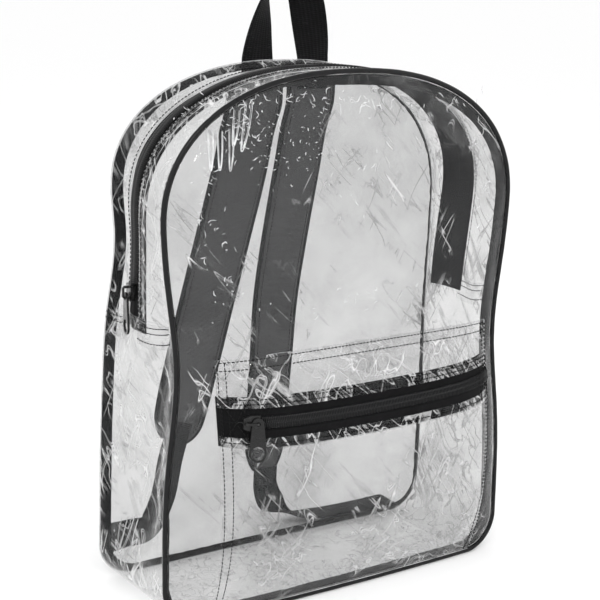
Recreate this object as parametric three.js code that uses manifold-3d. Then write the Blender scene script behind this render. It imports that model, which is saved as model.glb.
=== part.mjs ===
// A clear vinyl backpack: a soft arched bag with black piping, a zip over the top, a zipped front pocket,
// a webbing handle and two shoulder straps. Millimetres, +Z up, the front faces -Y and +X is to the right
// seen from the front. The origin is the middle of the foot that the bag stands on.
import * as THREE from 'three';
import { mergeVertices } from 'three/addons/utils/BufferGeometryUtils.js';
import Module from 'manifold-3d';

const wasm = await Module();
wasm.setup();

// Whole bag
const bagHeight = 432;
const bagHalfWidth = 169;
const bagDepth = 107.5;
const footRadius = 33;
const foldHold = 4;

// Sheets and the running gap between neighbouring pieces
const vinyl = 1.2;
const gap = 0.4;
const mergeReach = 1e-4;

// Front outline: a superellipse crown over straight sides with a soft waist
const frontCrownHeight = 117;
const frontCrownPower = 2.29;
const frontWaist = 0.065;
const waistHeight = 206;
const waistReach = 70;
const footBow = 5;
const footBowReach = 60;

// Back outline: a rounder crown, a slighter waist, a lean, and a pinch where the left side is pressed in
const backCrownHeight = 128;
const backCrownPower = 2.32;
const backWaist = 0.016;
const backLean = -8.5;
const backCurve = 15.6;
const pinchDepth = 14;
const pinchHeight = 298;
const pinchReach = 60;

// How far the panels swell out of their edges
const frontSwell = 15;
const pocketSwell = 14;
const swellHeight = 110;
const swellReach = 90;
const frontSwellPower = 7;
const backSwell = 6;
const backSwellPower = 4;
const panelCentreHeight = 205;
const ringShares = [1, 0.95, 0.89, 0.81, 0.68, 0.45];

// Piping and the tape that binds the seams inside
const pipingRadius = 2.1;
const pipingSides = 8;
const bindingWidth = 9;
const bindingThickness = 1.4;
const bindingClear = 0.4;

// Zips: chain, tape, and the slit between the two vinyl edges that shows them
const chainHalfWidth = 5.2;
const chainHeight = 3;
const tapeHalfWidth = 19;
const tapeThickness = 1;
const tapeClear = 1.1;
const tapeColumns = 2;
const chainColumns = 2;
const tapeSplit = 0.5;
const slitHalfWidth = 11;
const sideZipShare = 0.62;
const topZipShare = 0.5;
const joinHeight = 240;
const tapeTuck = 12;
const lowerColumns = 8;
const zipFrontColumns = 3;
const zipBackColumns = 2;

// Front pocket
const pocketHalfWidth = 132;
const pocketTop = 219;
const pocketFoot = 7;
const pocketZipHeight = 172;
const pocketZipSag = 4;
const pocketDepth = 16;
const pocketEdgeClear = 0.7;
const pocketSidePower = 6;
const pocketColumns = 16;
const pocketTopRows = 4;
const pocketFaceRows = 8;

// Zip sliders and their pulls
const sliderLength = 13;
const sliderWidth = 12.6;
const sliderBody = 4.2;
const sliderNeck = 8;
const bailHalfLength = 4.4;
const bailRise = 5.2;
const bailWire = 1.8;
const pullLength = 34;
const pullTopWidth = 9.2;
const pullEndWidth = 14;
const pullHole = 10.6;
const pullThickness = 1.8;
const pullEye = 3.4;
const pullLift = 1.1;
const pocketSliderLift = 2;
const mainSliderRise = 18;
const mainSliderTurn = -0.2;
const pocketSliderX = -110;
const curveSegments = 8;

// Handle
const handleWidth = 30;
const handleThickness = 2.2;
const handleSpread = 27.5;
const handleMiddle = 10;
const handleRise = 72;
const handleSewn = 26;
const handleSteps = 4;

// Shoulder straps with their webbing and anchors
const strapWidth = 55;
const strapThickness = 6;
const strapReach = 46;
const strapSteps = 22;
const webbingWidth = 25;
const webbingThickness = 1.8;
const webbingSteps = 16;
const anchorWidth = 28;
const anchorLength = 30;
const anchorSteps = 3;

// Rows of the gusset's depth: share of the way from front to back, and depth as a share of the bag's depth
const zipDent = [
  { share: 0, depth: 0 },
  { share: 0.2, depth: 0.05 },
  { share: 0.45, depth: 0.015 },
  { share: 0.62, depth: 0.02 },
  { share: 0.82, depth: 0.075 },
  { share: 1, depth: 0 },
];
const lowerDent = [
  { share: 0, depth: 0 },
  { share: 0.28, depth: 0.07 },
  { share: 0.52, depth: 0.085 },
  { share: 0.78, depth: 0.06 },
  { share: 1, depth: 0 },
];

// Rows of the pocket's stand off the panel: share of the way down from its top seam, and depth as a share
// of the pocket's depth
const pocketStand = [
  { share: 0, depth: 0 },
  { share: 0.1, depth: 0.5 },
  { share: 0.34, depth: 1 },
  { share: 0.6, depth: 0.9 },
  { share: 1, depth: 0.04 },
];

// Rows of one leg of the handle: height as a share of the way up, place as a share of the spread, and the
// share of a half turn that the band has made
const handleRows = [
  { rise: 0, spread: 1, turn: 0 },
  { rise: 0.28, spread: 1, turn: 0.01 },
  { rise: 0.56, spread: 0.87, turn: 0.14 },
  { rise: 0.8, spread: 0.68, turn: 0.28 },
  { rise: 0.95, spread: 0.42, turn: 0.42 },
  { rise: 1, spread: 0, turn: 0.5 },
];

// Dents pressed into the front panel: place and reach as shares of the bag's half-width and height, and depth
// as a share of the front's swell
const frontDents = [
  { side: -0.45, height: 0.74, wide: 0.3, tall: 0.12, depth: 0.22 },
  { side: 0.4, height: 0.62, wide: 0.35, tall: 0.1, depth: 0.18 },
  { side: 0.1, height: 0.88, wide: 0.5, tall: 0.06, depth: -0.16 },
  { side: -0.2, height: 0.3, wide: 0.5, tall: 0.04, depth: 0.1 },
];

// Folds in the gusset's sides: height as a share of the bag's height, place as a share of the depth from front
// to back, reach both ways, slant as depth gained over height, and depth as a share of the bag's depth
const sideFolds = [
  { side: -1, height: 0.1, share: 0.42, tall: 0.09, wide: 0.13, slant: -0.9, depth: 0.05 },
  { side: -1, height: 0.2, share: 0.72, tall: 0.1, wide: 0.1, slant: 0.6, depth: -0.035 },
  { side: -1, height: 0.3, share: 0.3, tall: 0.08, wide: 0.12, slant: 0.5, depth: 0.04 },
  { side: -1, height: 0.44, share: 0.55, tall: 0.06, wide: 0.2, slant: 0, depth: -0.03 },
  { side: 1, height: 0.14, share: 0.5, tall: 0.1, wide: 0.14, slant: 0.7, depth: 0.05 },
  { side: 1, height: 0.34, share: 0.4, tall: 0.09, wide: 0.15, slant: -0.4, depth: 0.035 },
];

// Rows of each strap: height as a share of the bag's height, sideways place as a share of the half-width,
// stand off the back panel as a share of the strap's reach, and width as a share of its full width
const leftStrapRows = [
  { height: 0.958, side: -0.1, stand: 0.064, width: 0.98 },
  { height: 0.91, side: -0.1, stand: 0.075, width: 1 },
  { height: 0.86, side: -0.095, stand: 0.3, width: 1 },
  { height: 0.775, side: -0.085, stand: 0.62, width: 1 },
  { height: 0.635, side: -0.13, stand: 0.92, width: 1 },
  { height: 0.51, side: -0.205, stand: 1, width: 1 },
  { height: 0.4, side: -0.28, stand: 1, width: 1 },
  { height: 0.31, side: -0.35, stand: 0.94, width: 0.98 },
  { height: 0.22, side: -0.43, stand: 0.8, width: 0.9 },
];
const rightStrapRows = [
  { height: 0.958, side: 0.235, stand: 0.068, width: 0.88 },
  { height: 0.91, side: 0.235, stand: 0.08, width: 0.88 },
  { height: 0.86, side: 0.24, stand: 0.28, width: 0.88 },
  { height: 0.77, side: 0.26, stand: 0.6, width: 0.88 },
  { height: 0.62, side: 0.25, stand: 0.92, width: 0.87 },
  { height: 0.49, side: 0.215, stand: 1, width: 0.85 },
  { height: 0.36, side: 0.19, stand: 0.97, width: 0.82 },
  { height: 0.22, side: 0.145, stand: 0.84, width: 0.78 },
  { height: 0.12, side: 0.1, stand: 0.68, width: 0.7 },
];
const leftWebbingRows = [
  { height: 0.26, side: -0.4, stand: 0.81, width: 1 },
  { height: 0.19, side: -0.475, stand: 0.69, width: 1 },
  { height: 0.11, side: -0.55, stand: 0.54, width: 1 },
  { height: 0.065, side: -0.66, stand: 0.38, width: 1 },
  { height: 0.07, side: -0.79, stand: 0.22, width: 1 },
];
const rightWebbingRows = [
  { height: 0.13, side: 0.105, stand: 0.64, width: 1, lay: 0 },
  { height: 0.085, side: 0.1, stand: 0.6, width: 1, lay: 0.15 },
  { height: 0.046, side: 0.14, stand: 0.54, width: 1, lay: 0.55 },
  { height: 0.021, side: 0.24, stand: 0.47, width: 1, lay: 0.9 },
  { height: 0.012, side: 0.38, stand: 0.42, width: 1, lay: 1 },
  { height: 0.01, side: 0.54, stand: 0.38, width: 1, lay: 1 },
  { height: 0.01, side: 0.7, stand: 0.35, width: 1, lay: 1 },
];

const black = { color: 0x121214, roughness: 0.55, metalness: 0 };
const materials = {
  vinyl: { color: 0xdfe3e6, roughness: 0.08, metalness: 0, transparent: true, opacity: 0.25 },
  piping: { ...black, roughness: 0.35 },
  tape: black,
  coil: { ...black, roughness: 0.4 },
  webbing: { ...black, roughness: 0.8 },
  padding: { color: 0x1d1d20, roughness: 0.85, metalness: 0 },
  enamel: { color: 0x0c0c0d, roughness: 0.3, metalness: 0.6 },
};

const backpack = new THREE.Group();

function add(name, geometry, finish) {
  const mesh = new THREE.Mesh(geometry, new THREE.MeshStandardMaterial(materials[finish]));
  mesh.name = name;
  backpack.add(mesh);
  return mesh;
}

function lerp(from, to, share) {
  return from + (to - from) * share;
}

function smooth(share) {
  const held = Math.min(Math.max(share, 0), 1);
  return held * held * (3 - 2 * held);
}

// A smooth hump: 1 at the middle, fading out over a reach
function hump(distance, reach) {
  return Math.exp(-((distance / reach) ** 2));
}

// The shares from 0 to 1 in even steps
function evenShares(count) {
  return Array.from({ length: count + 1 }, (unused, step) => step / count);
}

// The depth at a share, eased from row to row of a table
function rowsAt(rows, share) {
  const next = Math.max(rows.findIndex((row) => row.share >= share), 1);
  const from = rows[next - 1];
  const to = rows[next];
  return lerp(from.depth, to.depth, smooth((share - from.share) / (to.share - from.share)));
}

// Outlines

function waistShare(height, depth) {
  return 1 - depth * hump(height - waistHeight, waistReach);
}

const stretches = { foot: 8, corner: 4, lowSide: 6, highSide: 3, crown: 28 };

// One closed outline, from the foot's left end along the foot and round by the right side and the crown
function outline(crownHeight, crownPower, waist) {
  const points = [];
  const put = (x, z) => points.push({ x: x * waistShare(z, waist), z });
  const steps = (count, place) => {
    for (let step = 0; step < count; step += 1) place(step / count);
  };
  const straight = bagHalfWidth - footRadius;
  const shoulder = bagHeight - crownHeight;
  const corner = (side, angle) => {
    put(side * straight + footRadius * Math.cos(angle), footRadius + footRadius * Math.sin(angle));
  };
  steps(stretches.foot, (share) => put(lerp(-straight, straight, share), 0));
  steps(stretches.corner, (share) => corner(1, lerp(1.5, 2, share) * Math.PI));
  steps(stretches.lowSide, (share) => put(bagHalfWidth, lerp(footRadius, joinHeight, share)));
  steps(stretches.highSide, (share) => put(bagHalfWidth, lerp(joinHeight, shoulder, share)));
  steps(stretches.crown, (share) => {
    const angle = share * Math.PI;
    const across = Math.sign(Math.cos(angle)) * Math.abs(Math.cos(angle)) ** (2 / crownPower);
    put(bagHalfWidth * across, shoulder + crownHeight * Math.sin(angle) ** (2 / crownPower));
  });
  steps(stretches.highSide, (share) => put(-bagHalfWidth, lerp(shoulder, joinHeight, share)));
  steps(stretches.lowSide, (share) => put(-bagHalfWidth, lerp(joinHeight, footRadius, share)));
  steps(stretches.corner, (share) => corner(-1, lerp(1, 1.5, share) * Math.PI));
  return points;
}

function pinched(point) {
  const pinch = pinchDepth * hump(point.z - pinchHeight, pinchReach);
  return point.x < 0 ? { x: point.x + pinch * smooth(-point.x / bagHalfWidth), z: point.z } : point;
}

const frontOutline = outline(frontCrownHeight, frontCrownPower, frontWaist);
const backOutline = outline(backCrownHeight, backCrownPower, backWaist).map(pinched);
const stationCount = frontOutline.length;
const rightJoin = stretches.foot + stretches.corner + stretches.lowSide;
const leftJoin = rightJoin + 2 * stretches.highSide + stretches.crown;

function frontPlane(x, z) {
  return -bagDepth / 2 - footBow * (1 - (x / bagHalfWidth) ** 2) * Math.exp(-z / footBowReach);
}

function backPlane(z) {
  const share = z / bagHeight - 0.5;
  return bagDepth / 2 + backLean * share + backCurve * share * share;
}

// The way into the bag at a station of an outline, in the plane of the panel
function inward(points, station) {
  const before = points[(station + stationCount - 1) % stationCount];
  const after = points[(station + 1) % stationCount];
  const length = Math.hypot(after.x - before.x, after.z - before.z);
  return { x: -(after.z - before.z) / length, z: (after.x - before.x) / length };
}

function inset(points, distance) {
  return points.map((point, station) => {
    const way = inward(points, station);
    return { x: point.x + way.x * distance, z: point.z + way.z * distance };
  });
}

// Solids

function solidFrom(points, faces) {
  const geometry = new THREE.BufferGeometry();
  let volume = 0;
  const cross = new THREE.Vector3();
  faces.forEach(([a, b, c]) => {
    volume += cross.crossVectors(points[b], points[c]).dot(points[a]);
  });
  const ordered = volume < 0 ? faces.map(([a, b, c]) => [a, c, b]) : faces;
  geometry.setAttribute(
    'position',
    new THREE.Float32BufferAttribute(points.flatMap((point) => [point.x, point.y, point.z]), 3),
  );
  geometry.setIndex(ordered.flat());
  geometry.computeVertexNormals();
  return geometry;
}

// A closed body skinned over rings of points. A ring runs out along one side and back along the other,
// so that its two ends are closed by the bands between those sides.
function skin(rings, closed = false) {
  const size = rings[0].length;
  const faces = [];
  const last = closed ? rings.length : rings.length - 1;
  for (let ring = 0; ring < last; ring += 1) {
    const here = ring * size;
    const there = ((ring + 1) % rings.length) * size;
    for (let side = 0; side < size; side += 1) {
      const next = (side + 1) % size;
      faces.push([here + side, there + side, there + next], [here + side, there + next, here + next]);
    }
  }
  const cap = (start, flip) => {
    for (let side = 0; side < size / 2 - 1; side += 1) {
      const [a, b, c, d] = [side, side + 1, size - 2 - side, size - 1 - side].map((k) => start + k);
      faces.push(...(flip ? [[a, c, b], [a, d, c]] : [[a, b, c], [a, c, d]]));
    }
  };
  if (!closed) {
    cap(0, false);
    cap((rings.length - 1) * size, true);
  }
  return solidFrom(rings.flat(), faces);
}

// A sheet skinned between an outer and an inner row of points at each station
function sheet(stations, closed = false) {
  return skin(stations.map(({ outer, inner }) => [...outer, ...[...inner].reverse()]), closed);
}

// A panel from rings of its own outline that shrink towards its middle
function panel(edge, surface) {
  const points = [];
  const faces = [];
  const middle = { x: 0, z: panelCentreHeight };
  const count = edge.length;
  const side = (thickness) => {
    const start = points.length;
    ringShares.forEach((share) => {
      edge.forEach((point) => {
        const x = lerp(middle.x, point.x, share);
        const z = lerp(middle.z, point.z, share);
        points.push(new THREE.Vector3(x, surface(x, z, share) + thickness, z));
      });
    });
    points.push(new THREE.Vector3(middle.x, surface(middle.x, middle.z, 0) + thickness, middle.z));
    return start;
  };
  const cover = (start, flip) => {
    const put = (a, b, c) => faces.push(flip ? [a, c, b] : [a, b, c]);
    const centre = start + ringShares.length * count;
    for (let step = 0; step < count; step += 1) {
      const next = (step + 1) % count;
      for (let ring = 0; ring + 1 < ringShares.length; ring += 1) {
        const outer = start + ring * count;
        const inner = outer + count;
        put(outer + step, outer + next, inner + next);
        put(outer + step, inner + next, inner + step);
      }
      put(centre - count + step, centre - count + next, centre);
    }
  };
  const front = side(-vinyl / 2);
  const back = side(vinyl / 2);
  cover(front, false);
  cover(back, true);
  for (let step = 0; step < count; step += 1) {
    const next = (step + 1) % count;
    faces.push([front + step, back + step, back + next], [front + step, back + next, front + next]);
  }
  return solidFrom(points, faces);
}

// Front and back panels

const frontEdge = inset(frontOutline, 2 * pipingRadius + gap);
const backEdge = inset(backOutline, vinyl);

// How far out a point lies between the panel's middle and its edge, from 0 to 1
function reachShare(edge, x, z) {
  const away = { x, z: z - panelCentreHeight };
  let share = 0;
  edge.forEach((point, station) => {
    const next = edge[(station + 1) % edge.length];
    const a = { x: point.x, z: point.z - panelCentreHeight };
    const b = { x: next.x, z: next.z - panelCentreHeight };
    const turn = a.x * b.z - a.z * b.x;
    const first = (away.x * b.z - away.z * b.x) / turn;
    const second = (a.x * away.z - a.z * away.x) / turn;
    if (first >= 0 && second >= 0) share = first + second;
  });
  return share;
}

function frontDent(x, z) {
  return frontDents.reduce((total, { side, height, wide, tall, depth }) => {
    const across = hump(x - side * bagHalfWidth, wide * bagHalfWidth);
    return total + depth * across * hump(z - height * bagHeight, tall * bagHeight);
  }, 0);
}

function frontSurface(x, z, share) {
  const swell = frontSwell * (1 - frontDent(x, z)) + pocketSwell * hump(z - swellHeight, swellReach);
  return frontPlane(x, z) - swell * (1 - share ** frontSwellPower);
}

function backSurface(x, z, share) {
  return backPlane(z) + backSwell * (1 - share ** backSwellPower);
}

function frontAt(x, z) {
  return frontSurface(x, z, reachShare(frontEdge, x, z));
}

function backAt(x, z) {
  return backSurface(x, z, Math.min(reachShare(backEdge, x, z), 1));
}

// Gusset: the band between the two outlines

function sideFold(x, z, share) {
  return sideFolds.reduce((total, fold) => {
    const rise = z / bagHeight - fold.height;
    const across = hump(share - fold.share - fold.slant * rise, fold.wide);
    return total + (Math.sign(x) === fold.side ? fold.depth * across * hump(rise, fold.tall) : 0);
  }, 0);
}

function gussetPoint(station, share, depth) {
  const low = Math.floor(station);
  const mix = station - low;
  const at = (step) => {
    const index = (step + stationCount) % stationCount;
    const front = frontOutline[index];
    const back = backOutline[index];
    const way = inward(frontOutline, index);
    const x = lerp(front.x, back.x, share);
    const z = lerp(front.z, back.z, share);
    const y = lerp(frontPlane(front.x, front.z), backPlane(back.z), share);
    const above = smooth(front.z / (joinHeight / 2));
    const zipPart = smooth((front.z - joinHeight / 2) / (joinHeight / 2));
    const held = 1 - Math.abs(2 * share - 1) ** foldHold;
    const folds = sideFold(front.x, front.z, share) * above * held;
    const dent = (lerp(rowsAt(lowerDent, share) * above, rowsAt(zipDent, share), zipPart) + folds) * bagDepth;
    return new THREE.Vector3(x + way.x * (dent + depth), y, z + way.z * (dent + depth));
  };
  return mix > 0 ? at(low).lerp(at(low + 1), mix) : at(low);
}

function zipShare(station) {
  const height = gussetPoint(station, sideZipShare, 0).z;
  return lerp(sideZipShare, topZipShare, smooth((height - joinHeight) / (bagHeight - joinHeight)));
}

const frontGap = (pipingRadius + gap) / bagDepth;
const backGap = (vinyl / 2 + gap) / bagDepth;

function stationsBetween(first, last) {
  const stations = [first];
  for (let station = Math.floor(first) + 1; station < last; station += 1) stations.push(station);
  return [...stations, last];
}

// A strip of the gusset between two shares of its depth, from one inset to another
function gussetStrip(stations, from, to, columns, outerInset, thickness) {
  return sheet(
    stations.map((station) => {
      const row = (depth) =>
        evenShares(columns)
          .map((share) => lerp(from(station), to(station), share))
          .map((place) => gussetPoint(station, place, depth));
      return { outer: row(outerInset), inner: row(outerInset + thickness) };
    }),
  );
}

const tapeInset = vinyl + tapeClear;
const lowSideStep = (joinHeight - footRadius) / stretches.lowSide;
const highSideStep = (bagHeight - backCrownHeight - joinHeight) / stretches.highSide;
const joinGap = gap / highSideStep;
const tuck = tapeTuck / lowSideStep;
const zipStations = stationsBetween(rightJoin + joinGap, leftJoin - joinGap);
const tapeStations = stationsBetween(rightJoin - tuck, leftJoin + tuck);

function addGussets() {
  const lowStations = stationsBetween(leftJoin, stationCount + rightJoin);
  const slit = slitHalfWidth / bagDepth;
  const tape = tapeHalfWidth / bagDepth;
  const split = tapeSplit / bagDepth;
  const lowStrip = gussetStrip(lowStations, () => frontGap, () => 1 - backGap, lowerColumns, 0, vinyl);
  add('lower_gusset', lowStrip, 'vinyl');
  const frontEnd = (station) => zipShare(station) - slit;
  const backStart = (station) => zipShare(station) + slit;
  add(
    'zip_gusset_front',
    gussetStrip(zipStations, () => frontGap, frontEnd, zipFrontColumns, 0, vinyl),
    'vinyl',
  );
  add(
    'zip_gusset_back',
    gussetStrip(zipStations, backStart, () => 1 - backGap, zipBackColumns, 0, vinyl),
    'vinyl',
  );
  add(
    'main_zip_front_tape',
    gussetStrip(
      tapeStations,
      (station) => zipShare(station) - tape,
      (station) => zipShare(station) - split,
      tapeColumns,
      tapeInset,
      tapeThickness,
    ),
    'tape',
  );
  add(
    'main_zip_back_tape',
    gussetStrip(
      tapeStations,
      (station) => zipShare(station) + split,
      (station) => zipShare(station) + tape,
      tapeColumns,
      tapeInset,
      tapeThickness,
    ),
    'tape',
  );
}

// The station on the left side at a height above the join
function leftStation(height) {
  const shoulder = bagHeight - lerp(frontCrownHeight, backCrownHeight, sideZipShare);
  return leftJoin - (stretches.highSide * (height - joinHeight)) / (shoulder - joinHeight);
}

function addMainChain() {
  const start = rightJoin + joinGap;
  const end = leftStation(joinHeight + mainSliderRise + sliderLength / 2 + 2 * gap);
  const half = chainHalfWidth / bagDepth;
  const strip = gussetStrip(
    stationsBetween(start, end),
    (station) => zipShare(station) - half,
    (station) => zipShare(station) + half,
    chainColumns,
    tapeInset - gap - chainHeight,
    chainHeight,
  );
  add('main_zip_chain', strip, 'coil');
}

// Piping and bindings

function addPiping() {
  const axis = inset(frontOutline, pipingRadius).map(
    (point) => new THREE.Vector3(point.x, frontPlane(point.x, point.z), point.z),
  );
  const rings = axis.map((centre, station) => {
    const way = inward(frontOutline, station);
    return Array.from({ length: pipingSides }, (unused, side) => {
      const angle = ((side + 0.5) / pipingSides) * 2 * Math.PI;
      const out = (pipingRadius * Math.cos(angle)) / Math.cos(Math.PI / pipingSides);
      const along = (pipingRadius * Math.sin(angle)) / Math.cos(Math.PI / pipingSides);
      return new THREE.Vector3(centre.x + way.x * out, centre.y + along, centre.z + way.z * out);
    });
  });
  add('front_piping', skin(rings, true), 'piping');
}

// A flat tape that leaves a seam at a slant into the bag
function binding(points, plane, into) {
  const slant = Math.SQRT1_2;
  const start = 2 * pipingRadius + bindingClear;
  const half = bindingThickness / 2;
  return skin(
    points.map((point, station) => {
      const way = inward(points, station);
      const corner = (out, across) => {
        const depth = start + (out - across) * slant;
        const y = plane(point) + into * (vinyl / 2 + bindingClear + (out + across + half) * slant);
        return new THREE.Vector3(point.x + way.x * depth, y, point.z + way.z * depth);
      };
      return [corner(0, -half), corner(bindingWidth, -half), corner(bindingWidth, half), corner(0, half)];
    }),
    true,
  );
}

function addBindings() {
  add('front_binding', binding(frontOutline, (point) => frontPlane(point.x, point.z), 1), 'tape');
  add('back_binding', binding(backOutline, (point) => backPlane(point.z), -1), 'tape');
}

// Pocket

function pocketZipCentre(across) {
  return pocketZipHeight - pocketZipSag * (1 - across * across);
}

// A point of the pocket: across from -1 to 1, a height, and a depth in from its outer face
function pocketPoint(across, height, depth) {
  const x = across * pocketHalfWidth;
  const down = (pocketTop - height) / (pocketTop - pocketFoot);
  const stand = pocketDepth * (1 - Math.abs(across) ** pocketSidePower) * rowsAt(pocketStand, down);
  const seat = frontAt(x, height) - vinyl / 2 - pocketEdgeClear;
  return new THREE.Vector3(x, seat - vinyl - tapeClear - tapeThickness - stand + depth, height);
}

function pocketStrip(from, to, rows, depth, thickness, first = -1, last = 1) {
  return sheet(
    evenShares(pocketColumns).map((column) => {
      const across = lerp(first, last, column);
      const row = (deep) =>
        evenShares(rows).map((share) => pocketPoint(across, lerp(from(across), to(across), share), deep));
      return { outer: row(depth), inner: row(depth + thickness) };
    }),
  );
}

function addPocket() {
  const above = (offset) => (across) => pocketZipCentre(across) + offset;
  add('pocket_top', pocketStrip(() => pocketTop, above(slitHalfWidth), pocketTopRows, 0, vinyl), 'vinyl');
  add('pocket_face', pocketStrip(above(-slitHalfWidth), () => pocketFoot, pocketFaceRows, 0, vinyl), 'vinyl');
  add(
    'pocket_zip_upper_tape',
    pocketStrip(above(tapeHalfWidth), above(tapeSplit), tapeColumns, tapeInset, tapeThickness),
    'tape',
  );
  add(
    'pocket_zip_lower_tape',
    pocketStrip(above(-tapeSplit), above(-tapeHalfWidth), tapeColumns, tapeInset, tapeThickness),
    'tape',
  );
  const chainStart = (pocketSliderX + sliderLength / 2 + gap) / pocketHalfWidth;
  add(
    'pocket_zip_chain',
    pocketStrip(
      above(chainHalfWidth),
      above(-chainHalfWidth),
      chainColumns,
      tapeInset - gap - chainHeight,
      chainHeight,
      chainStart,
    ),
    'coil',
  );
}

// Sliders and pulls. Along the slider is local x, across it is y and out of the tape is z.

function manifoldOf(geometry) {
  const bare = geometry.clone();
  bare.deleteAttribute('normal');
  bare.deleteAttribute('uv');
  const merged = mergeVertices(bare, mergeReach);
  return new wasm.Manifold(
    new wasm.Mesh({
      numProp: 3,
      vertProperties: new Float32Array(merged.attributes.position.array),
      triVerts: new Uint32Array(merged.index.array),
    }),
  );
}

function geometryOf(manifold) {
  const mesh = manifold.getMesh();
  const geometry = new THREE.BufferGeometry();
  geometry.setAttribute('position', new THREE.BufferAttribute(new Float32Array(mesh.vertProperties), 3));
  geometry.setIndex(Array.from(mesh.triVerts));
  geometry.computeVertexNormals();
  return geometry;
}

// A wire arch over the slider, in its long plane
function bailGeometry() {
  const outer = bailHalfLength + bailWire / 2;
  const inner = bailHalfLength - bailWire / 2;
  const foot = sliderBody - bailWire;
  const top = sliderBody + bailRise;
  const arch = new THREE.Shape();
  arch.moveTo(-outer, foot);
  arch.lineTo(-outer, top - bailWire);
  arch.lineTo(-outer + bailWire, top);
  arch.lineTo(outer - bailWire, top);
  arch.lineTo(outer, top - bailWire);
  arch.lineTo(outer, foot);
  arch.lineTo(inner, foot);
  arch.lineTo(inner, top - bailWire);
  arch.lineTo(-inner, top - bailWire);
  arch.lineTo(-inner, foot);
  arch.closePath();
  const geometry = new THREE.ExtrudeGeometry(arch, { depth: bailWire, bevelEnabled: false });
  geometry.translate(0, 0, -bailWire / 2);
  geometry.rotateX(Math.PI / 2);
  return geometry;
}

function sliderGeometry() {
  const plan = new THREE.Shape();
  const half = sliderLength / 2;
  plan.moveTo(-half, -sliderNeck / 2);
  plan.lineTo(0, -sliderWidth / 2);
  plan.lineTo(half, -sliderWidth / 2);
  plan.lineTo(half, sliderWidth / 2);
  plan.lineTo(0, sliderWidth / 2);
  plan.lineTo(-half, sliderNeck / 2);
  plan.closePath();
  const body = new THREE.ExtrudeGeometry(plan, { depth: sliderBody, bevelEnabled: false });
  return geometryOf(manifoldOf(body).add(manifoldOf(bailGeometry())));
}

// A flat pull with a round eye at the top and a round hole in its wide end, hanging down from its eye
function pullGeometry() {
  const shape = new THREE.Shape();
  const end = pullEndWidth / 2;
  const endCentre = -(pullLength - end - pullTopWidth / 2);
  shape.moveTo(pullTopWidth / 2, 0);
  shape.absarc(0, 0, pullTopWidth / 2, 0, Math.PI, false);
  shape.lineTo(-end, endCentre);
  shape.absarc(0, endCentre, end, Math.PI, 2 * Math.PI, false);
  shape.closePath();
  const hole = (y, radius) => {
    const path = new THREE.Path();
    path.absarc(0, y, radius, 0, 2 * Math.PI, true);
    shape.holes.push(path);
  };
  hole(0, pullEye / 2);
  hole(endCentre, pullHole / 2);
  return new THREE.ExtrudeGeometry(shape, { depth: pullThickness, bevelEnabled: false, curveSegments });
}

// Places a slider, and a pull that hangs from the slider's leg at the given end
function addSlider(name, seat, along, out, leg, hang) {
  const across = new THREE.Vector3().crossVectors(out, along);
  const slider = add(`${name}_slider`, sliderGeometry(), 'enamel');
  slider.applyMatrix4(new THREE.Matrix4().makeBasis(along, across, out).setPosition(seat));
  const eye = seat.clone().addScaledVector(along, leg).addScaledVector(out, sliderBody + pullLift);
  const up = hang.clone().negate();
  const side = new THREE.Vector3().crossVectors(up, out);
  const pull = add(`${name}_pull`, pullGeometry(), 'enamel');
  pull.applyMatrix4(new THREE.Matrix4().makeBasis(side, up, out).setPosition(eye));
}

function addSliders() {
  const down = new THREE.Vector3(0, 0, -1);
  const station = leftStation(joinHeight + mainSliderRise);
  const mainOut = new THREE.Vector3(-Math.cos(mainSliderTurn), -Math.sin(mainSliderTurn), 0);
  const mainSeat = gussetPoint(station, zipShare(station), tapeInset);
  mainSeat.addScaledVector(mainOut, chainHeight / 2);
  addSlider('main', mainSeat, new THREE.Vector3(0, 0, 1), mainOut, -bailHalfLength, down);
  const zipPoint = (x, drop) => {
    const across = x / pocketHalfWidth;
    return pocketPoint(across, pocketZipCentre(across) - drop, tapeInset);
  };
  const pocketSeat = zipPoint(pocketSliderX, 0);
  const pocketAlong = zipPoint(pocketSliderX + sliderLength / 2, 0);
  pocketAlong.sub(zipPoint(pocketSliderX - sliderLength / 2, 0)).normalize();
  const pocketHang = zipPoint(pocketSliderX, pullLength).sub(pocketSeat);
  pocketHang.addScaledVector(pocketAlong, -pocketHang.dot(pocketAlong)).normalize();
  const pocketOut = new THREE.Vector3().crossVectors(pocketHang, pocketAlong);
  pocketSeat.addScaledVector(pocketOut, pocketSliderLift);
  addSlider('pocket', pocketSeat, pocketAlong, pocketOut, bailHalfLength, pocketHang);
}

// Webbing, handle and straps

// A flat band through stations that each give a centre, the way across it and the way out of it
function band(stations, thickness) {
  return skin(
    stations.map(({ centre, across, out, width }) => {
      const corner = (side, face) => {
        const edge = centre.clone().addScaledVector(across, (side * width) / 2);
        return edge.addScaledVector(out, (face * thickness) / 2);
      };
      return [corner(-1, 1), corner(1, 1), corner(1, -1), corner(-1, -1)];
    }),
  );
}

// Points along a smooth curve through the centres, with the widths and the lay eased between them. The band
// faces back where its lay is 0, and up where it is 1.
function bandAlong(centres, widths, lays, thickness, count) {
  const curve = new THREE.CatmullRomCurve3(centres, false, 'centripetal');
  const last = widths.length - 1;
  const stations = evenShares(count).map((share) => {
    const place = share * last;
    const low = Math.min(Math.floor(place), last - 1);
    const along = curve.getTangent(share);
    const lay = (lerp(lays[low], lays[low + 1], place - low) * Math.PI) / 2;
    const facing = new THREE.Vector3(0, Math.cos(lay), Math.sin(lay));
    const across = new THREE.Vector3().crossVectors(along, facing).normalize();
    const out = new THREE.Vector3().crossVectors(across, along).normalize();
    const width = lerp(widths[low], widths[low + 1], place - low);
    return { centre: curve.getPoint(share), across, out, width };
  });
  return band(stations, thickness);
}

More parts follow.
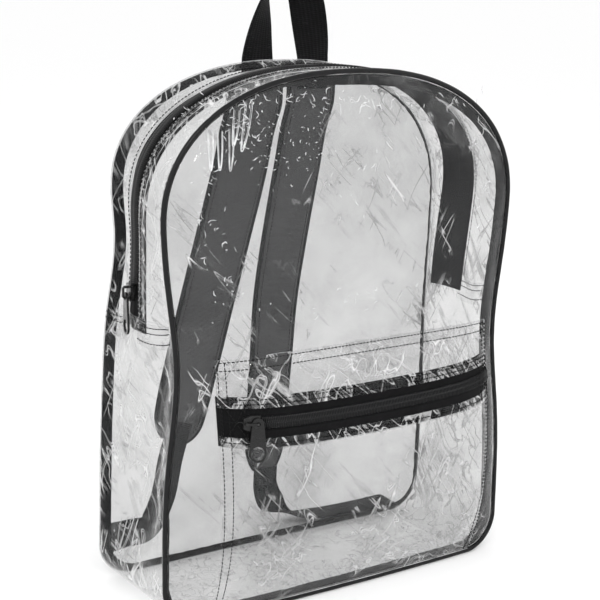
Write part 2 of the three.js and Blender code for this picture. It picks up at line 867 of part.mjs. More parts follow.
function strapCentres(rows, thickness) {
  return rows.map(({ height, side, stand }) => {
    const x = side * bagHalfWidth;
    const z = height * bagHeight;
    const seat = backAt(x, z) + vinyl / 2 + gap + thickness / 2;
    return new THREE.Vector3(x, seat + stand * strapReach, z);
  });
}

function addStrap(name, rows, fullWidth, thickness, count, finish) {
  const widths = rows.map((row) => row.width * fullWidth);
  const lays = rows.map((row) => row.lay ?? 0);
  add(name, bandAlong(strapCentres(rows, thickness), widths, lays, thickness, count), finish);
}

// A tab of folded webbing that carries on from a strap's webbing to the foot of the back seam
function addAnchor(name, rows) {
  const [before, end] = strapCentres(rows, webbingThickness).slice(-2);
  const way = end.clone().sub(before).normalize();
  const start = end.clone().addScaledVector(way, gap);
  const reach = start.clone().addScaledVector(way, anchorLength);
  const { lay = 0 } = rows[rows.length - 1];
  const widths = [webbingWidth, anchorWidth];
  add(name, bandAlong([start, reach], widths, [lay, lay], webbingThickness, anchorSteps), 'webbing');
}

function addStraps() {
  addStrap('strap_left', leftStrapRows, strapWidth, strapThickness, strapSteps, 'padding');
  addStrap('strap_right', rightStrapRows, strapWidth, strapThickness, strapSteps, 'padding');
  addStrap('strap_webbing_left', leftWebbingRows, webbingWidth, webbingThickness, webbingSteps, 'webbing');
  addStrap('strap_webbing_right', rightWebbingRows, webbingWidth, webbingThickness, webbingSteps, 'webbing');
  addAnchor('strap_anchor_left', leftWebbingRows);
  addAnchor('strap_anchor_right', rightWebbingRows);
}

// An arch of webbing whose ends are sewn flat behind the top seam and whose crown lies flat. The band turns
// half round on its way from one end to the other.
function addHandle() {
  const base = bagHeight - handleSewn;
  const top = bagHeight + handleRise - handleThickness / 2;
  const y = backAt(handleMiddle, base) + vinyl / 2 + gap + handleThickness / 2;
  const leg = (side) =>
    handleRows.map(({ rise, spread, turn }) => ({
      centre: new THREE.Vector3(handleMiddle + side * spread * handleSpread, y, lerp(base, top, rise)),
      turn: side < 0 ? turn : 1 - turn,
    }));
  const right = leg(1).reverse().slice(1);
  const rows = [...leg(-1), ...right];
  const curve = new THREE.CatmullRomCurve3(rows.map((row) => row.centre), false, 'centripetal');
  const last = rows.length - 1;
  const places = Array.from({ length: handleSteps * last + 1 }, (unused, step) => {
    const place = step / handleSteps;
    const low = Math.min(Math.floor(place), last - 1);
    const turn = Math.PI * lerp(rows[low].turn, rows[low + 1].turn, place - low);
    const along = curve.getTangent(place / last);
    const across = new THREE.Vector3(Math.cos(turn), Math.sin(turn), 0);
    across.addScaledVector(along, -across.dot(along)).normalize();
    const out = new THREE.Vector3().crossVectors(across, along).normalize();
    return { centre: curve.getPoint(place / last), across, out, width: handleWidth };
  });
  add('handle', band(places, handleThickness), 'webbing');
}

add('front_panel', panel(frontEdge, frontSurface), 'vinyl');
add('back_panel', panel(backEdge, backSurface), 'vinyl');
addGussets();
addMainChain();
addPiping();
addBindings();
addPocket();
addSliders();
addHandle();
addStraps();

export default backpack;
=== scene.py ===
# A clear vinyl backpack: the looks. Sizes are in millimetres, in the same frame as the solids, and become
# metres where a mesh is made. The front faces -Y, +X is to the right seen from the front, and z 0 is the foot.
import math
import bpy
import numpy as np
from mathutils import Matrix, Vector


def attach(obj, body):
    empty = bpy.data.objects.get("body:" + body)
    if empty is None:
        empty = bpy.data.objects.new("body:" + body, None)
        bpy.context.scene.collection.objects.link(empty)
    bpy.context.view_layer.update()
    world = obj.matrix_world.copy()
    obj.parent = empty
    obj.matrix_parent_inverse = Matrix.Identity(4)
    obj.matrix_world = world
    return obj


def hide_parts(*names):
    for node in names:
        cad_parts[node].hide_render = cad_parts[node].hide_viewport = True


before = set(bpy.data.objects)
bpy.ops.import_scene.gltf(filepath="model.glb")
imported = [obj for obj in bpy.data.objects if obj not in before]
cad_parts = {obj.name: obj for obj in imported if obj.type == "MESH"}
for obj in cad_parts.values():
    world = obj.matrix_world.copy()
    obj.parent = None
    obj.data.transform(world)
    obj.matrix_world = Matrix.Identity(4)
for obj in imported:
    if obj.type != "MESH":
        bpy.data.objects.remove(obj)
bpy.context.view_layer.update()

MM = 0.001

# Whole bag
BAG_HEIGHT = 432
HALF_WIDTH = 169
BAG_DEPTH = 107.5
FOOT_RADIUS = 33
FOLD_HOLD = 4

# Front outline: a superellipse crown over straight sides with a soft waist
FRONT_CROWN = (117, 2.29)
FRONT_WAIST = 0.065
WAIST_HEIGHT = 206
WAIST_REACH = 70
FOOT_BOW = 5
FOOT_BOW_REACH = 60

# Back outline: a rounder crown, a slighter waist, a lean, and a pinch on the left side
BACK_CROWN = (128, 2.32)
BACK_WAIST = 0.016
BACK_LEAN = -8.5
BACK_CURVE = 15.6
PINCH_DEPTH = 14
PINCH_HEIGHT = 298
PINCH_REACH = 60

# How far the panels swell out of their edges
FRONT_SWELL = 15
POCKET_SWELL = 14
SWELL_HEIGHT = 110
SWELL_REACH = 90
FRONT_SWELL_POWER = 7
BACK_SWELL = 6
BACK_SWELL_POWER = 4
PANEL_CENTRE = 205

# Sheets, piping and bindings
VINYL = 1.2
SHEET = 0.7
HEM = 0.5
POCKET_HEM_THICKNESS = 0.4
GAP = 0.4
PIPING_RADIUS = 2.1
PANEL_TUCK = 3.2
BINDING_WIDTH = 9
BINDING_THICKNESS = 0.8

# Zips
TAPE_HALF_WIDTH = 19
TAPE_THICKNESS = 0.9
TAPE_INSET = VINYL + 1.1
TAPE_SPLIT = 0.05
SLIT_HALF_WIDTH = 11
SIDE_ZIP_SHARE = 0.62
TOP_ZIP_SHARE = 0.5
JOIN_HEIGHT = 240
TAPE_TUCK = 12
COIL_PITCH = 1.5
COIL_WIRE = 0.6

# Front pocket
POCKET_HALF_WIDTH = 132
POCKET_TOP = 219
POCKET_FOOT = 7
POCKET_ZIP_HEIGHT = 172
POCKET_ZIP_SAG = 4
POCKET_DEPTH = 16
POCKET_EDGE_CLEAR = 0.7
POCKET_SIDE_POWER = 6

# Sliders
SLIDER_LENGTH = 13
MAIN_SLIDER_RISE = 18
POCKET_SLIDER_X = -110
METAL_ROUND = 0.45

# Handle
HANDLE_WIDTH = 30
HANDLE_THICKNESS = 2.2
HANDLE_SPREAD = 27.5
HANDLE_MIDDLE = 10
HANDLE_RISE = 72
HANDLE_SEWN = 26

# Shoulder straps with their webbing and anchors
STRAP_WIDTH = 55
STRAP_THICKNESS = 6
STRAP_REACH = 46
TRIM_WIDTH = 4.6
TRIM_INSET = 2.0
STRAP_ROW_INSET = 6
ROUND_START = 0.93
ROUND_LENGTH = 0.085
WEBBING_WIDTH = 25
WEBBING_THICKNESS = 1.8
ANCHOR_WIDTH = 28
ANCHOR_LENGTH = 30

# Fine ribs on the front, pale as painted highlights: zones by middle, spread, number and length, and loops by
# top, width, drop and lean
RIB_LIFT = 0.3
FRONT_RIB_ZONES = (
    (-112, 400, 40, 14, 46, 6),
    (-134, 350, 12, 60, 44, 5),
    (-98, 385, 26, 30, 40, 5),
    (-62, 376, 40, 50, 90, 2.5),
    (-30, 410, 60, 8, 30, 7),
    (40, 404, 80, 10, 34, 8),
    (128, 340, 12, 60, 40, 7),
    (10, 345, 30, 30, 12, 6),
    (-118, 270, 20, 50, 20, 4),
    (-20, 250, 90, 14, 20, 5),
)
FRONT_LOOPS = (
    (-128, 386, 4, 25, 0.1),
    (-121, 385, 4, 24, 0.1),
    (-112, 386, 4, 26, 0.12),
    (-96, 404, 6, 30, 0.3),
    (-106, 400, 5, 22, 0.25),
)

# Joins in the gusset and hems beside the zips
JOIN_HEM = 20
JOIN_ROWS = (3.5, 8, 16)
JOIN_SAG = 4
JOIN_LEAN = 7
ZIP_HEM = 8.5
HEM_LIFT = 0.1
POCKET_HEM = 8

# Points along the gusset, along its strips beside the zip, and across the pocket
GUSSET_STEPS = 420
STRIP_STEPS = 520
POCKET_STEPS = 230

# Relief of the sheets: height of the swells and creases, their length, and the seed of their directions
FRONT_SWELLS = (1.1, 95, 11)
FRONT_CREASES = (0.35, 42, 12)
FRONT_EDGE_CREASES = 1.5
BACK_SWELLS = (1.2, 110, 21)
BACK_CREASES = (0.8, 60, 22)
LOWER_FOLDS = (9, 62, 31, 4)
LOWER_CREASES = (3.2, 26, 32, 5)
LOWER_CREASE_TOP = 205
STRIP_CREASES = (2.2, 34)
HEM_CREASES = (0.5, 12, 35)
ZIP_HEM_CREASES = (0.5, 14, 44, 4)
POCKET_SWELLS = (1.3, 90, 5)
POCKET_CREASE_LENGTH = 30
POCKET_HEM_CREASES = (0.7, 11, 75, 4)
ANCHOR_CREASES = (0.7, 9, 91, 3)
BINDING_CREASES = (1.3, 15)
BINDING_GRAIN = (0.5, 6)

# Thread
STITCH_PITCH = 3.4
STITCH_LENGTH = 2.6
STITCH_WIDTH = 0.9
HEM_STITCH_LIFT = 0.8
ZIP_STITCH_LIFT = 0.9
MAIN_ZIP_ROWS = (-SLIT_HALF_WIDTH - 2.4, -SLIT_HALF_WIDTH - 6.6, SLIT_HALF_WIDTH + 2.4)
TACK_LIFT = 1.2
POCKET_TACK = 0.87
POCKET_ROW_END = 0.985
POCKET_TOP_ROWS = (2.2, 8.4)
POCKET_ZIP_ROWS = (-15, 14, 17.5)
POCKET_SIDE_ROWS = (1.4, 6.6)

# The gusset's dent: share of the way from front to back, and depth as a share of the bag's depth
ZIP_DENT = ((0, 0), (0.2, 0.05), (0.45, 0.015), (0.62, 0.02), (0.82, 0.075), (1, 0))
LOWER_DENT = ((0, 0), (0.28, 0.07), (0.52, 0.085), (0.78, 0.06), (1, 0))

# The pocket's stand off the panel: share of the way down, and depth as a share of the pocket's depth
POCKET_STAND = ((0, 0), (0.1, 0.5), (0.34, 1), (0.6, 0.9), (1, 0.04))

# One leg of the handle: height as a share of the rise, place as a share of the spread, share of a half turn
HANDLE_ROWS = (
    (0, 1, 0),
    (0.28, 1, 0.01),
    (0.56, 0.87, 0.14),
    (0.8, 0.68, 0.28),
    (0.95, 0.42, 0.42),
    (1, 0, 0.5),
)

# Dents in the front panel: place, reach sideways and up, as shares of the half-width and height, and depth
FRONT_DENTS = (
    (-0.45, 0.74, 0.3, 0.12, 0.22),
    (0.4, 0.62, 0.35, 0.1, 0.18),
    (0.1, 0.88, 0.5, 0.06, -0.16),
    (-0.2, 0.3, 0.5, 0.04, 0.1),
)

# Folds in the gusset's sides: side, height, share of the way back, reach up and across, slant, and depth
SIDE_FOLDS = (
    (-1, 0.1, 0.42, 0.09, 0.13, -0.9, 0.05),
    (-1, 0.2, 0.72, 0.1, 0.1, 0.6, -0.035),
    (-1, 0.3, 0.3, 0.08, 0.12, 0.5, 0.04),
    (-1, 0.44, 0.55, 0.06, 0.2, 0, -0.03),
    (1, 0.14, 0.5, 0.1, 0.14, 0.7, 0.05),
    (1, 0.34, 0.4, 0.09, 0.15, -0.4, 0.035),
)

# Straps: height as a share of the bag's height, place as a share of the half-width, stand, width, and lay,
# which is 0 where the band faces back and 1 where it faces up
LEFT_STRAP = (
    (0.958, -0.1, 0.064, 0.98, 0),
    (0.91, -0.1, 0.075, 1, 0),
    (0.86, -0.095, 0.3, 1, 0),
    (0.775, -0.085, 0.62, 1, 0),
    (0.635, -0.13, 0.92, 1, 0),
    (0.51, -0.205, 1, 1, 0),
    (0.4, -0.28, 1, 1, 0),
    (0.31, -0.35, 0.94, 0.98, 0),
    (0.22, -0.43, 0.8, 0.9, 0),
)
RIGHT_STRAP = (
    (0.958, 0.235, 0.068, 0.88, 0),
    (0.91, 0.235, 0.08, 0.88, 0),
    (0.86, 0.24, 0.28, 0.88, 0),
    (0.77, 0.26, 0.6, 0.88, 0),
    (0.62, 0.25, 0.92, 0.87, 0),
    (0.49, 0.215, 1, 0.85, 0),
    (0.36, 0.19, 0.97, 0.82, 0),
    (0.22, 0.145, 0.84, 0.78, 0),
    (0.12, 0.1, 0.68, 0.7, 0),
)
LEFT_WEBBING = (
    (0.26, -0.4, 0.81, 1, 0),
    (0.19, -0.475, 0.69, 1, 0),
    (0.11, -0.55, 0.54, 1, 0),
    (0.065, -0.66, 0.38, 1, 0),
    (0.07, -0.79, 0.22, 1, 0),
)
RIGHT_WEBBING = (
    (0.13, 0.105, 0.64, 1, 0),
    (0.085, 0.1, 0.6, 1, 0.15),
    (0.046, 0.14, 0.54, 1, 0.55),
    (0.021, 0.24, 0.47, 1, 0.9),
    (0.012, 0.38, 0.42, 1, 1),
    (0.01, 0.54, 0.38, 1, 1),
    (0.01, 0.7, 0.35, 1, 1),
)

# Camera, fitted to the outlines in the photograph
IMAGE_SIZE = 600
CAMERA_TARGET = (0, 0, 216)
CAMERA_TURN = -0.5912
CAMERA_RISE = 0.2449
CAMERA_DISTANCE = 1231.8
CAMERA_FOCUS = 1465.4
CAMERA_CENTRE = (308.95, 323.66)
CAMERA_ROLL = 0.017
SENSOR_WIDTH = 36

# Studio, in metres and watts: soft lamps for the form, narrow bright ones for the glints
FLOOR_REACH = 60
FLOOR_TINT = (0.95, 0.95, 0.95)
SKY_STRENGTH = 1.04
LAMPS = (
    ("key", (-1.4, -1.5, 2.2), (0.9, 0.9), 16),
    ("fill", (1.9, -1.4, 1.3), (0.5, 1.4), 6),
    ("left_glint", (-2.2, -0.3, 1.2), (0.06, 0.9), 7),
    ("front_glint", (-0.5, -2.3, 1.5), (0.5, 0.06), 7),
)

# A wave texture's bands in one unit of its scale
WAVE_CYCLES = 20 / (2 * math.pi)

# Clear faces that a ray may pass, one after the other
FACES_SEEN_THROUGH = 20

# Tints of the clear sheet: the dark one where it dims what lies behind, the white one for the painted
# highlights on its creases, and how white the painted reflection on a slanted view of it is
VINYL_DIM_AND_GLINT_TINTS = ((0.04, 0.041, 0.042), (0.97, 0.97, 0.97))
SLANT_REFLECTION_WHITE = 2.6
SLANT_POWER = 3

# The darker and the lighter tint of each other finish
# The pale greys of the sheet's cut edge are a painted highlight
EDGE_HIGHLIGHT_GREYS = ((0.55, 0.56, 0.57), (0.95, 0.95, 0.95))
PLASTIC_BLACKS = ((0.002, 0.002, 0.002), (0.008, 0.008, 0.009))
THREAD_BLACKS = ((0.002, 0.002, 0.002), (0.01, 0.01, 0.01))
TAPE_BLACKS = ((0.001, 0.001, 0.001), (0.009, 0.009, 0.01))
WEBBING_BLACKS = ((0.001, 0.001, 0.001), (0.012, 0.012, 0.013))
PADDING_GREYS = ((0.06, 0.06, 0.06), (0.125, 0.125, 0.127))
ENAMEL_BLACKS = ((0.003, 0.003, 0.003), (0.03, 0.03, 0.031))

# Painted highlight streaks on the sheet, in place of glints on its creases: turn of their run, waves in a
# metre, and width as a share of a wave. They turn round one axis on the flat panels and another on the gusset.
STREAK_STRETCH = (1, 1, 8)
STREAKS = ((0.45, 60, 0.012), (-0.75, 90, 0.016))
PANEL_RUN = (0, 1, 0)
GUSSET_RUN = (1, 0, 0.3)

# Share of its shade that the sheet casts, because it passes most of the light that falls on it
SHADE_CAST = 0.3


def lerp(low, high, share):
    return low + (high - low) * share


def smooth(share):
    held = np.clip(share, 0, 1)
    return held * held * (3 - 2 * held)


def hump(distance, reach):
    return np.exp(-((distance / reach) ** 2))


def eased(rows, share):
    """The depth at a share, eased from row to row."""
    places, depths = np.array(rows, float).T
    step = np.clip(np.searchsorted(places, share), 1, len(places) - 1)
    way = (share - places[step - 1]) / (places[step] - places[step - 1])
    return lerp(depths[step - 1], depths[step], smooth(way))


def unit(vectors):
    return vectors / (np.linalg.norm(vectors, axis=-1, keepdims=True) + 1e-12)


def stack(x, y, z):
    return np.stack(np.broadcast_arrays(x, y, z), axis=-1).astype(float)


# Outlines. A station runs from the foot's left end along the foot, up the right side, over the crown and on.

STRETCHES = np.array([8, 4, 6, 3, 28, 3, 6, 4])
STARTS = np.concatenate([[0], np.cumsum(STRETCHES)])
STATIONS = int(STARTS[-1])
RIGHT_JOIN = int(STARTS[3])
LEFT_JOIN = int(STARTS[6])


def outline(station, crown, waist):
    crown_height, power = crown
    station = np.mod(station, STATIONS)
    stretch = np.clip(np.searchsorted(STARTS, station, side="right") - 1, 0, len(STRETCHES) - 1)
    share = (station - STARTS[stretch]) / STRETCHES[stretch]
    straight = HALF_WIDTH - FOOT_RADIUS
    shoulder = BAG_HEIGHT - crown_height
    side = np.where(stretch < 4, 1.0, -1.0)
    corner = np.where(stretch == 1, lerp(1.5, 2, share), lerp(1, 1.5, share)) * math.pi
    arch = np.clip(share, 0, 1) * math.pi
    reach = np.sign(np.cos(arch)) * np.abs(np.cos(arch)) ** (2 / power)
    rise = np.abs(np.sin(arch)) ** (2 / power)
    upward = np.where(stretch < 4, share, 1 - share)
    low = lerp(FOOT_RADIUS, JOIN_HEIGHT, upward)
    high = lerp(JOIN_HEIGHT, shoulder, upward)
    kinds = [stretch == 0, (stretch == 1) | (stretch == 7), (stretch == 2) | (stretch == 6), stretch == 4]
    x = np.select(
        kinds,
        [
            lerp(-straight, straight, share),
            side * straight + FOOT_RADIUS * np.cos(corner),
            side * HALF_WIDTH,
            HALF_WIDTH * reach,
        ],
        side * HALF_WIDTH,
    )
    z = np.select(
        kinds,
        [0 * share, FOOT_RADIUS + FOOT_RADIUS * np.sin(corner), low, shoulder + crown_height * rise],
        high,
    )
    return x * (1 - waist * hump(z - WAIST_HEIGHT, WAIST_REACH)), z


def front_outline(station):
    return outline(station, FRONT_CROWN, FRONT_WAIST)


def back_outline(station):
    x, z = outline(station, BACK_CROWN, BACK_WAIST)
    pinch = PINCH_DEPTH * hump(z - PINCH_HEIGHT, PINCH_REACH) * smooth(-x / HALF_WIDTH)
    return x + pinch, z


def inward(shape, station):
    """The way into the bag at a station, in the plane of the panel."""
    x0, z0 = shape(station - 0.7)
    x1, z1 = shape(station + 0.7)
    length = np.hypot(x1 - x0, z1 - z0)
    return -(z1 - z0) / length, (x1 - x0) / length


def front_plane(x, z):
    return -BAG_DEPTH / 2 - FOOT_BOW * (1 - (x / HALF_WIDTH) ** 2) * np.exp(-z / FOOT_BOW_REACH)


def back_plane(z):
    share = z / BAG_HEIGHT - 0.5
    return BAG_DEPTH / 2 + BACK_LEAN * share + BACK_CURVE * share * share


def edge_reach(shape, inset):
    """The edge of a panel as a table of angles round its middle and distances from it."""
    station = np.linspace(0, STATIONS, 1200, endpoint=False)
    x, z = shape(station)
    way = inward(shape, station)
    x = x + way[0] * inset
    z = z + way[1] * inset - PANEL_CENTRE
    angle = np.arctan2(z, x)
    order = np.argsort(angle)
    return angle[order], np.hypot(x, z)[order]


FRONT_EDGE = edge_reach(front_outline, PANEL_TUCK)
BACK_EDGE = edge_reach(back_outline, 0.3)


def reach_at(edge, angle):
    return np.interp(angle, edge[0], edge[1], period=2 * math.pi)


def edge_share(edge, x, z):
    """How far out a point lies between the panel's middle and its edge, from 0 to 1."""
    up = z - PANEL_CENTRE
    return np.hypot(x, up) / reach_at(edge, np.arctan2(up, x))


def front_dent(x, z):
    total = 0
    for side, height, wide, tall, depth in FRONT_DENTS:
        across = hump(x - side * HALF_WIDTH, wide * HALF_WIDTH)
        total = total + depth * across * hump(z - height * BAG_HEIGHT, tall * BAG_HEIGHT)
    return total


def front_at(x, z):
    share = np.minimum(edge_share(FRONT_EDGE, x, z), 1)
    swell = FRONT_SWELL * (1 - front_dent(x, z)) + POCKET_SWELL * hump(z - SWELL_HEIGHT, SWELL_REACH)
    return front_plane(x, z) - swell * (1 - share ** FRONT_SWELL_POWER)


def back_at(x, z):
    share = np.minimum(edge_share(BACK_EDGE, x, z), 1)
    return back_plane(z) + BACK_SWELL * (1 - share ** BACK_SWELL_POWER)


# Creases: sums of bent folds in seeded directions, each flat on both sides of its ridge

def creases(points, length, seed, folds=6):
    draw = np.random.default_rng(seed)
    total = 0
    for _ in range(folds):
        way = unit(draw.normal(size=3))
        bend = unit(draw.normal(size=3))
        size = length * draw.uniform(0.7, 1.8)
        phase, turn = draw.uniform(0, 1, 2)
        place = points @ way / size + phase + 0.22 * np.sin(points @ bend / size * 2.3 + 6 * turn)
        total = total + draw.uniform(0.5, 1) * (np.abs(np.mod(place, 1) - 0.5) * 2 - 0.5)
    return total / math.sqrt(folds)


def swells(points, length, seed, waves=5):
    draw = np.random.default_rng(seed)
    total = 0
    for _ in range(waves):
        way = unit(draw.normal(size=3))
        size = length * draw.uniform(0.7, 1.7)
        total = total + np.sin(points @ way / size * 2 * math.pi + draw.uniform(0, 2 * math.pi))
    return total / waves


def crease_relief(points, height, length, seed, folds=6):
    return height * creases(points, length, seed, folds)


def swell_relief(points, height, length, seed):
    return height * swells(points, length, seed)


# Gusset

def side_fold(x, z, share):
    total = 0
    for side, height, place, tall, wide, slant, depth in SIDE_FOLDS:
        rise = z / BAG_HEIGHT - height
        across = hump(share - place - slant * rise, wide)
        total = total + np.where(np.sign(x) == side, depth * across * hump(rise, tall), 0)
    return total


def gusset(station, share, depth=0):
    """Points of the band between the two outlines, at a depth in from its outer face."""
    station, share = np.broadcast_arrays(np.asarray(station, float), np.asarray(share, float))
    front_x, front_z = front_outline(station)
    back_x, back_z = back_outline(station)
    way = inward(front_outline, station)
    above = smooth(front_z / (JOIN_HEIGHT / 2))
    zip_part = smooth((front_z - JOIN_HEIGHT / 2) / (JOIN_HEIGHT / 2))
    held = 1 - np.abs(2 * share - 1) ** FOLD_HOLD
    folds = side_fold(front_x, front_z, share) * above * held
    dent = lerp(eased(LOWER_DENT, share) * above, eased(ZIP_DENT, share), zip_part) + folds
    inset = dent * BAG_DEPTH + depth
    return stack(
        lerp(front_x, back_x, share) + way[0] * inset,
        lerp(front_plane(front_x, front_z), back_plane(back_z), share),
        lerp(front_z, back_z, share) + way[1] * inset,
    )


def zip_share(station):
    height = gusset(station, SIDE_ZIP_SHARE)[..., 2]
    rise = smooth((height - JOIN_HEIGHT) / (BAG_HEIGHT - JOIN_HEIGHT))
    return lerp(SIDE_ZIP_SHARE, TOP_ZIP_SHARE, rise)


def left_station(height):
    shoulder = BAG_HEIGHT - lerp(FRONT_CROWN[0], BACK_CROWN[0], SIDE_ZIP_SHARE)
    return LEFT_JOIN - STRETCHES[5] * (height - JOIN_HEIGHT) / (shoulder - JOIN_HEIGHT)


LOW_STEP = (JOIN_HEIGHT - FOOT_RADIUS) / STRETCHES[2]


# Pocket

def pocket_zip(across):
    return POCKET_ZIP_HEIGHT - POCKET_ZIP_SAG * (1 - across * across)


def pocket(across, height, depth=0):
    """Points of the pocket, at a depth in from its outer face."""
    across, height = np.broadcast_arrays(np.asarray(across, float), np.asarray(height, float))
    x = across * POCKET_HALF_WIDTH
    down = (POCKET_TOP - height) / (POCKET_TOP - POCKET_FOOT)
    stand = POCKET_DEPTH * (1 - np.abs(across) ** POCKET_SIDE_POWER) * eased(POCKET_STAND, down)
    seat = front_at(x, height) - VINYL / 2 - POCKET_EDGE_CLEAR
    return stack(x, seat - TAPE_INSET - 1 - stand + depth, height)


# Meshes


def mesh_piece(name, points, faces, finish, weave=None, sharp=40, body="bag"):
    mesh = bpy.data.meshes.new(name)
    mesh.from_pydata((np.asarray(points) * MM).tolist(), [], [list(map(int, face)) for face in faces])
    mesh.polygons.foreach_set("use_smooth", np.ones(len(mesh.polygons), bool))
    mesh.set_sharp_from_angle(angle=math.radians(sharp))
    if weave is not None:
        layer = mesh.attributes.new("weave", "FLOAT_VECTOR", "POINT")
        layer.data.foreach_set("vector", (np.asarray(weave) * MM).astype(np.float32).ravel())
    mesh.materials.append(finish)
    piece = bpy.data.objects.new(name, mesh)
    bpy.context.scene.collection.objects.link(piece)
    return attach(piece, body) or piece


def grid_normals(grid):
    normal = np.cross(np.gradient(grid, axis=0), np.gradient(grid, axis=1))
    return unit(normal)


def grid_weave(grid):
    """How far along and across a grid each of its points lies, from its middle."""
    along = np.linalg.norm(np.diff(grid, axis=0), axis=2)
    across = np.linalg.norm(np.diff(grid, axis=1), axis=2)
    far = np.vstack([np.zeros((1, grid.shape[1])), np.cumsum(along, axis=0)])
    wide = np.hstack([np.zeros((grid.shape[0], 1)), np.cumsum(across, axis=1)])
    far = np.broadcast_to(far[:, far.shape[1] // 2][:, None], wide.shape)
    return stack(far, wide - wide[:, -1:] / 2, 0 * wide)


def sheet_piece(name, grid, thickness, finish, out=1, sharp=40, rim_finish=None):
    """A closed sheet under a grid of points on its outer face. out is -1 where the grid turns inwards."""
    rows, columns = grid.shape[:2]
    inner = grid - out * thickness * grid_normals(grid)
    index = np.arange(rows * columns).reshape(rows, columns)
    under = rows * columns
    corners = [index[:-1, :-1], index[1:, :-1], index[1:, 1:], index[:-1, 1:]]
    quads = np.stack(corners, axis=-1).reshape(-1, 4)

    def rim(line, turned):
        a, b = (line[1:], line[:-1]) if turned else (line[:-1], line[1:])
        return np.stack([a, b, b + under, a + under], axis=-1)

    rims = [rim(index[:, 0], True), rim(index[:, -1], False), rim(index[0], False), rim(index[-1], True)]
    faces = np.concatenate([quads, quads[:, ::-1] + under, *rims])
    faces = faces if out > 0 else faces[:, ::-1]
    points = np.concatenate([grid.reshape(-1, 3), inner.reshape(-1, 3)])
    flat = grid_weave(grid).reshape(-1, 3)
    piece = mesh_piece(name, points, faces, finish, weave=np.concatenate([flat, flat]), sharp=sharp)
    if rim_finish is not None:
        piece.data.materials.append(rim_finish)
        place = np.zeros(len(faces), int)
        place[2 * len(quads):] = 1
        piece.data.polygons.foreach_set("material_index", place)
    return piece


def vinyl_piece(name, grid, finish, thickness=SHEET, out=1, sharp=30):
    # The rims take the edge finish, whose pale grey is a painted highlight
    return sheet_piece(name, grid, thickness, finish, out, sharp, EDGE_FINISH)


def loft_faces(rings, sides, closed):
    index = np.arange(rings * sides).reshape(rings, sides)
    if closed:
        index = np.vstack([index, index[:1]])
    turned = np.roll(index, -1, axis=1)
    quads = np.stack([index[:-1], turned[:-1], turned[1:], index[1:]], axis=-1).reshape(-1, 4)
    faces = quads.tolist()
    if not closed:
        faces += [index[0, ::-1].tolist(), index[-1].tolist()]
    return faces


def frames_along(path, out):
    """The directions along, across and out at each point of a path, from rough directions out of it."""
    along = unit(np.gradient(path, axis=0))
    across = unit(np.cross(out, along))
    return along, across, unit(np.cross(along, across))


def tube_points(path, across, out, radii, sides):
    angle = np.linspace(0, 2 * math.pi, sides, endpoint=False)
    ring = across[:, None] * np.cos(angle)[None, :, None] + out[:, None] * np.sin(angle)[None, :, None]
    return path[:, None] + ring * np.asarray(radii).reshape(-1, 1, 1)


def resample(path, extra, pitch):
    """Points an even distance apart along a path, with what goes with them."""
    far = np.concatenate([[0], np.cumsum(np.linalg.norm(np.diff(path, axis=0), axis=1))])
    count = max(int(far[-1] / pitch), 1)
    places = (np.arange(count) + 0.5) * far[-1] / count

    def at_places(values):
        return np.stack([np.interp(places, far, column) for column in values.T], axis=-1)

    return at_places(path), unit(at_places(extra))


def set_copies(template, path, out):
    """The points of copies of a small form along a path. The form's axes are along, across and out."""
    axes = np.stack(frames_along(path, out), axis=1)
    return path[:, None] + np.einsum("pk,nkc->npc", template, axes)


def repeat_faces(faces, count, copies, start=0):
    """The faces of copies of a form with a count of points, from a first point on."""
    return [[corner + start + step * count for corner in face] for step in range(copies) for face in faces]


# Materials

class Nodes:
    """A material's nodes, made and joined in short calls."""

    def __init__(self, name):
        self.material = bpy.data.materials.new(name)
        self.material.use_nodes = True
        self.tree = self.material.node_tree
        self.shader = self.tree.nodes["Principled BSDF"]
        self.output = self.tree.nodes["Material Output"]

    def add(self, kind, **values):
        node = self.tree.nodes.new(kind)
        for key, value in values.items():
            if hasattr(node, key):
                setattr(node, key, value)
            else:
                node.inputs[key.replace("_", " ").title()].default_value = value
        return node

    def link(self, source, node, key):
        self.tree.links.new(source, node.inputs[key])

    def set(self, **values):
        for key, value in values.items():
            self.shader.inputs[key.replace("_", " ")].default_value = value

    def place(self):
        return self.add("ShaderNodeTexCoord").outputs["Object"]

    def weave(self):
        return self.add("ShaderNodeAttribute", attribute_name="weave").outputs["Vector"]

    def noise(self, source, scale, detail=3, distortion=0):
        node = self.add("ShaderNodeTexNoise", Scale=scale, Detail=detail, Distortion=distortion)
        self.link(source, node, "Vector")
        return node.outputs["Fac"]

    def cells(self, source, scale, feature="DISTANCE_TO_EDGE"):
        node = self.add("ShaderNodeTexVoronoi", feature=feature, Scale=scale)
        self.link(source, node, "Vector")
        return node.outputs["Distance"]

    def wave(self, source, scale, direction="X", distortion=0, profile="SIN"):
        node = self.add("ShaderNodeTexWave", wave_profile=profile, bands_direction=direction, Scale=scale,
                        Distortion=distortion)
        self.link(source, node, "Vector")
        return node.outputs["Fac"]

    def ramp(self, source, low, high, first=0.0, last=1.0):
        node = self.add("ShaderNodeMapRange", clamp=True)
        for key, value in (("From Min", low), ("From Max", high), ("To Min", first), ("To Max", last)):
            node.inputs[key].default_value = value
        self.link(source, node, "Value")
        return node.outputs["Result"]

    def math(self, operation, first, second):
        node = self.add("ShaderNodeMath", operation=operation)
        for slot, value in enumerate((first, second)):
            if isinstance(value, (int, float)):
                node.inputs[slot].default_value = value
            else:
                self.tree.links.new(value, node.inputs[slot])
        return node.outputs[0]

    def mix(self, share, first, second):
        node = self.add("ShaderNodeMix", data_type="RGBA")
        self.link(share, node, 0)
        node.inputs[6].default_value = (*first, 1)
        node.inputs[7].default_value = (*second, 1)
        return node.outputs[2]

    def colour(self, share, tints):
        self.link(self.mix(share, *tints), self.shader, "Base Color")

    def bump(self, height, distance):
        node = self.add("ShaderNodeBump", Strength=1.0, Distance=distance * MM)
        self.link(height, node, "Height")
        self.link(node.outputs["Normal"], self.shader, "Normal")


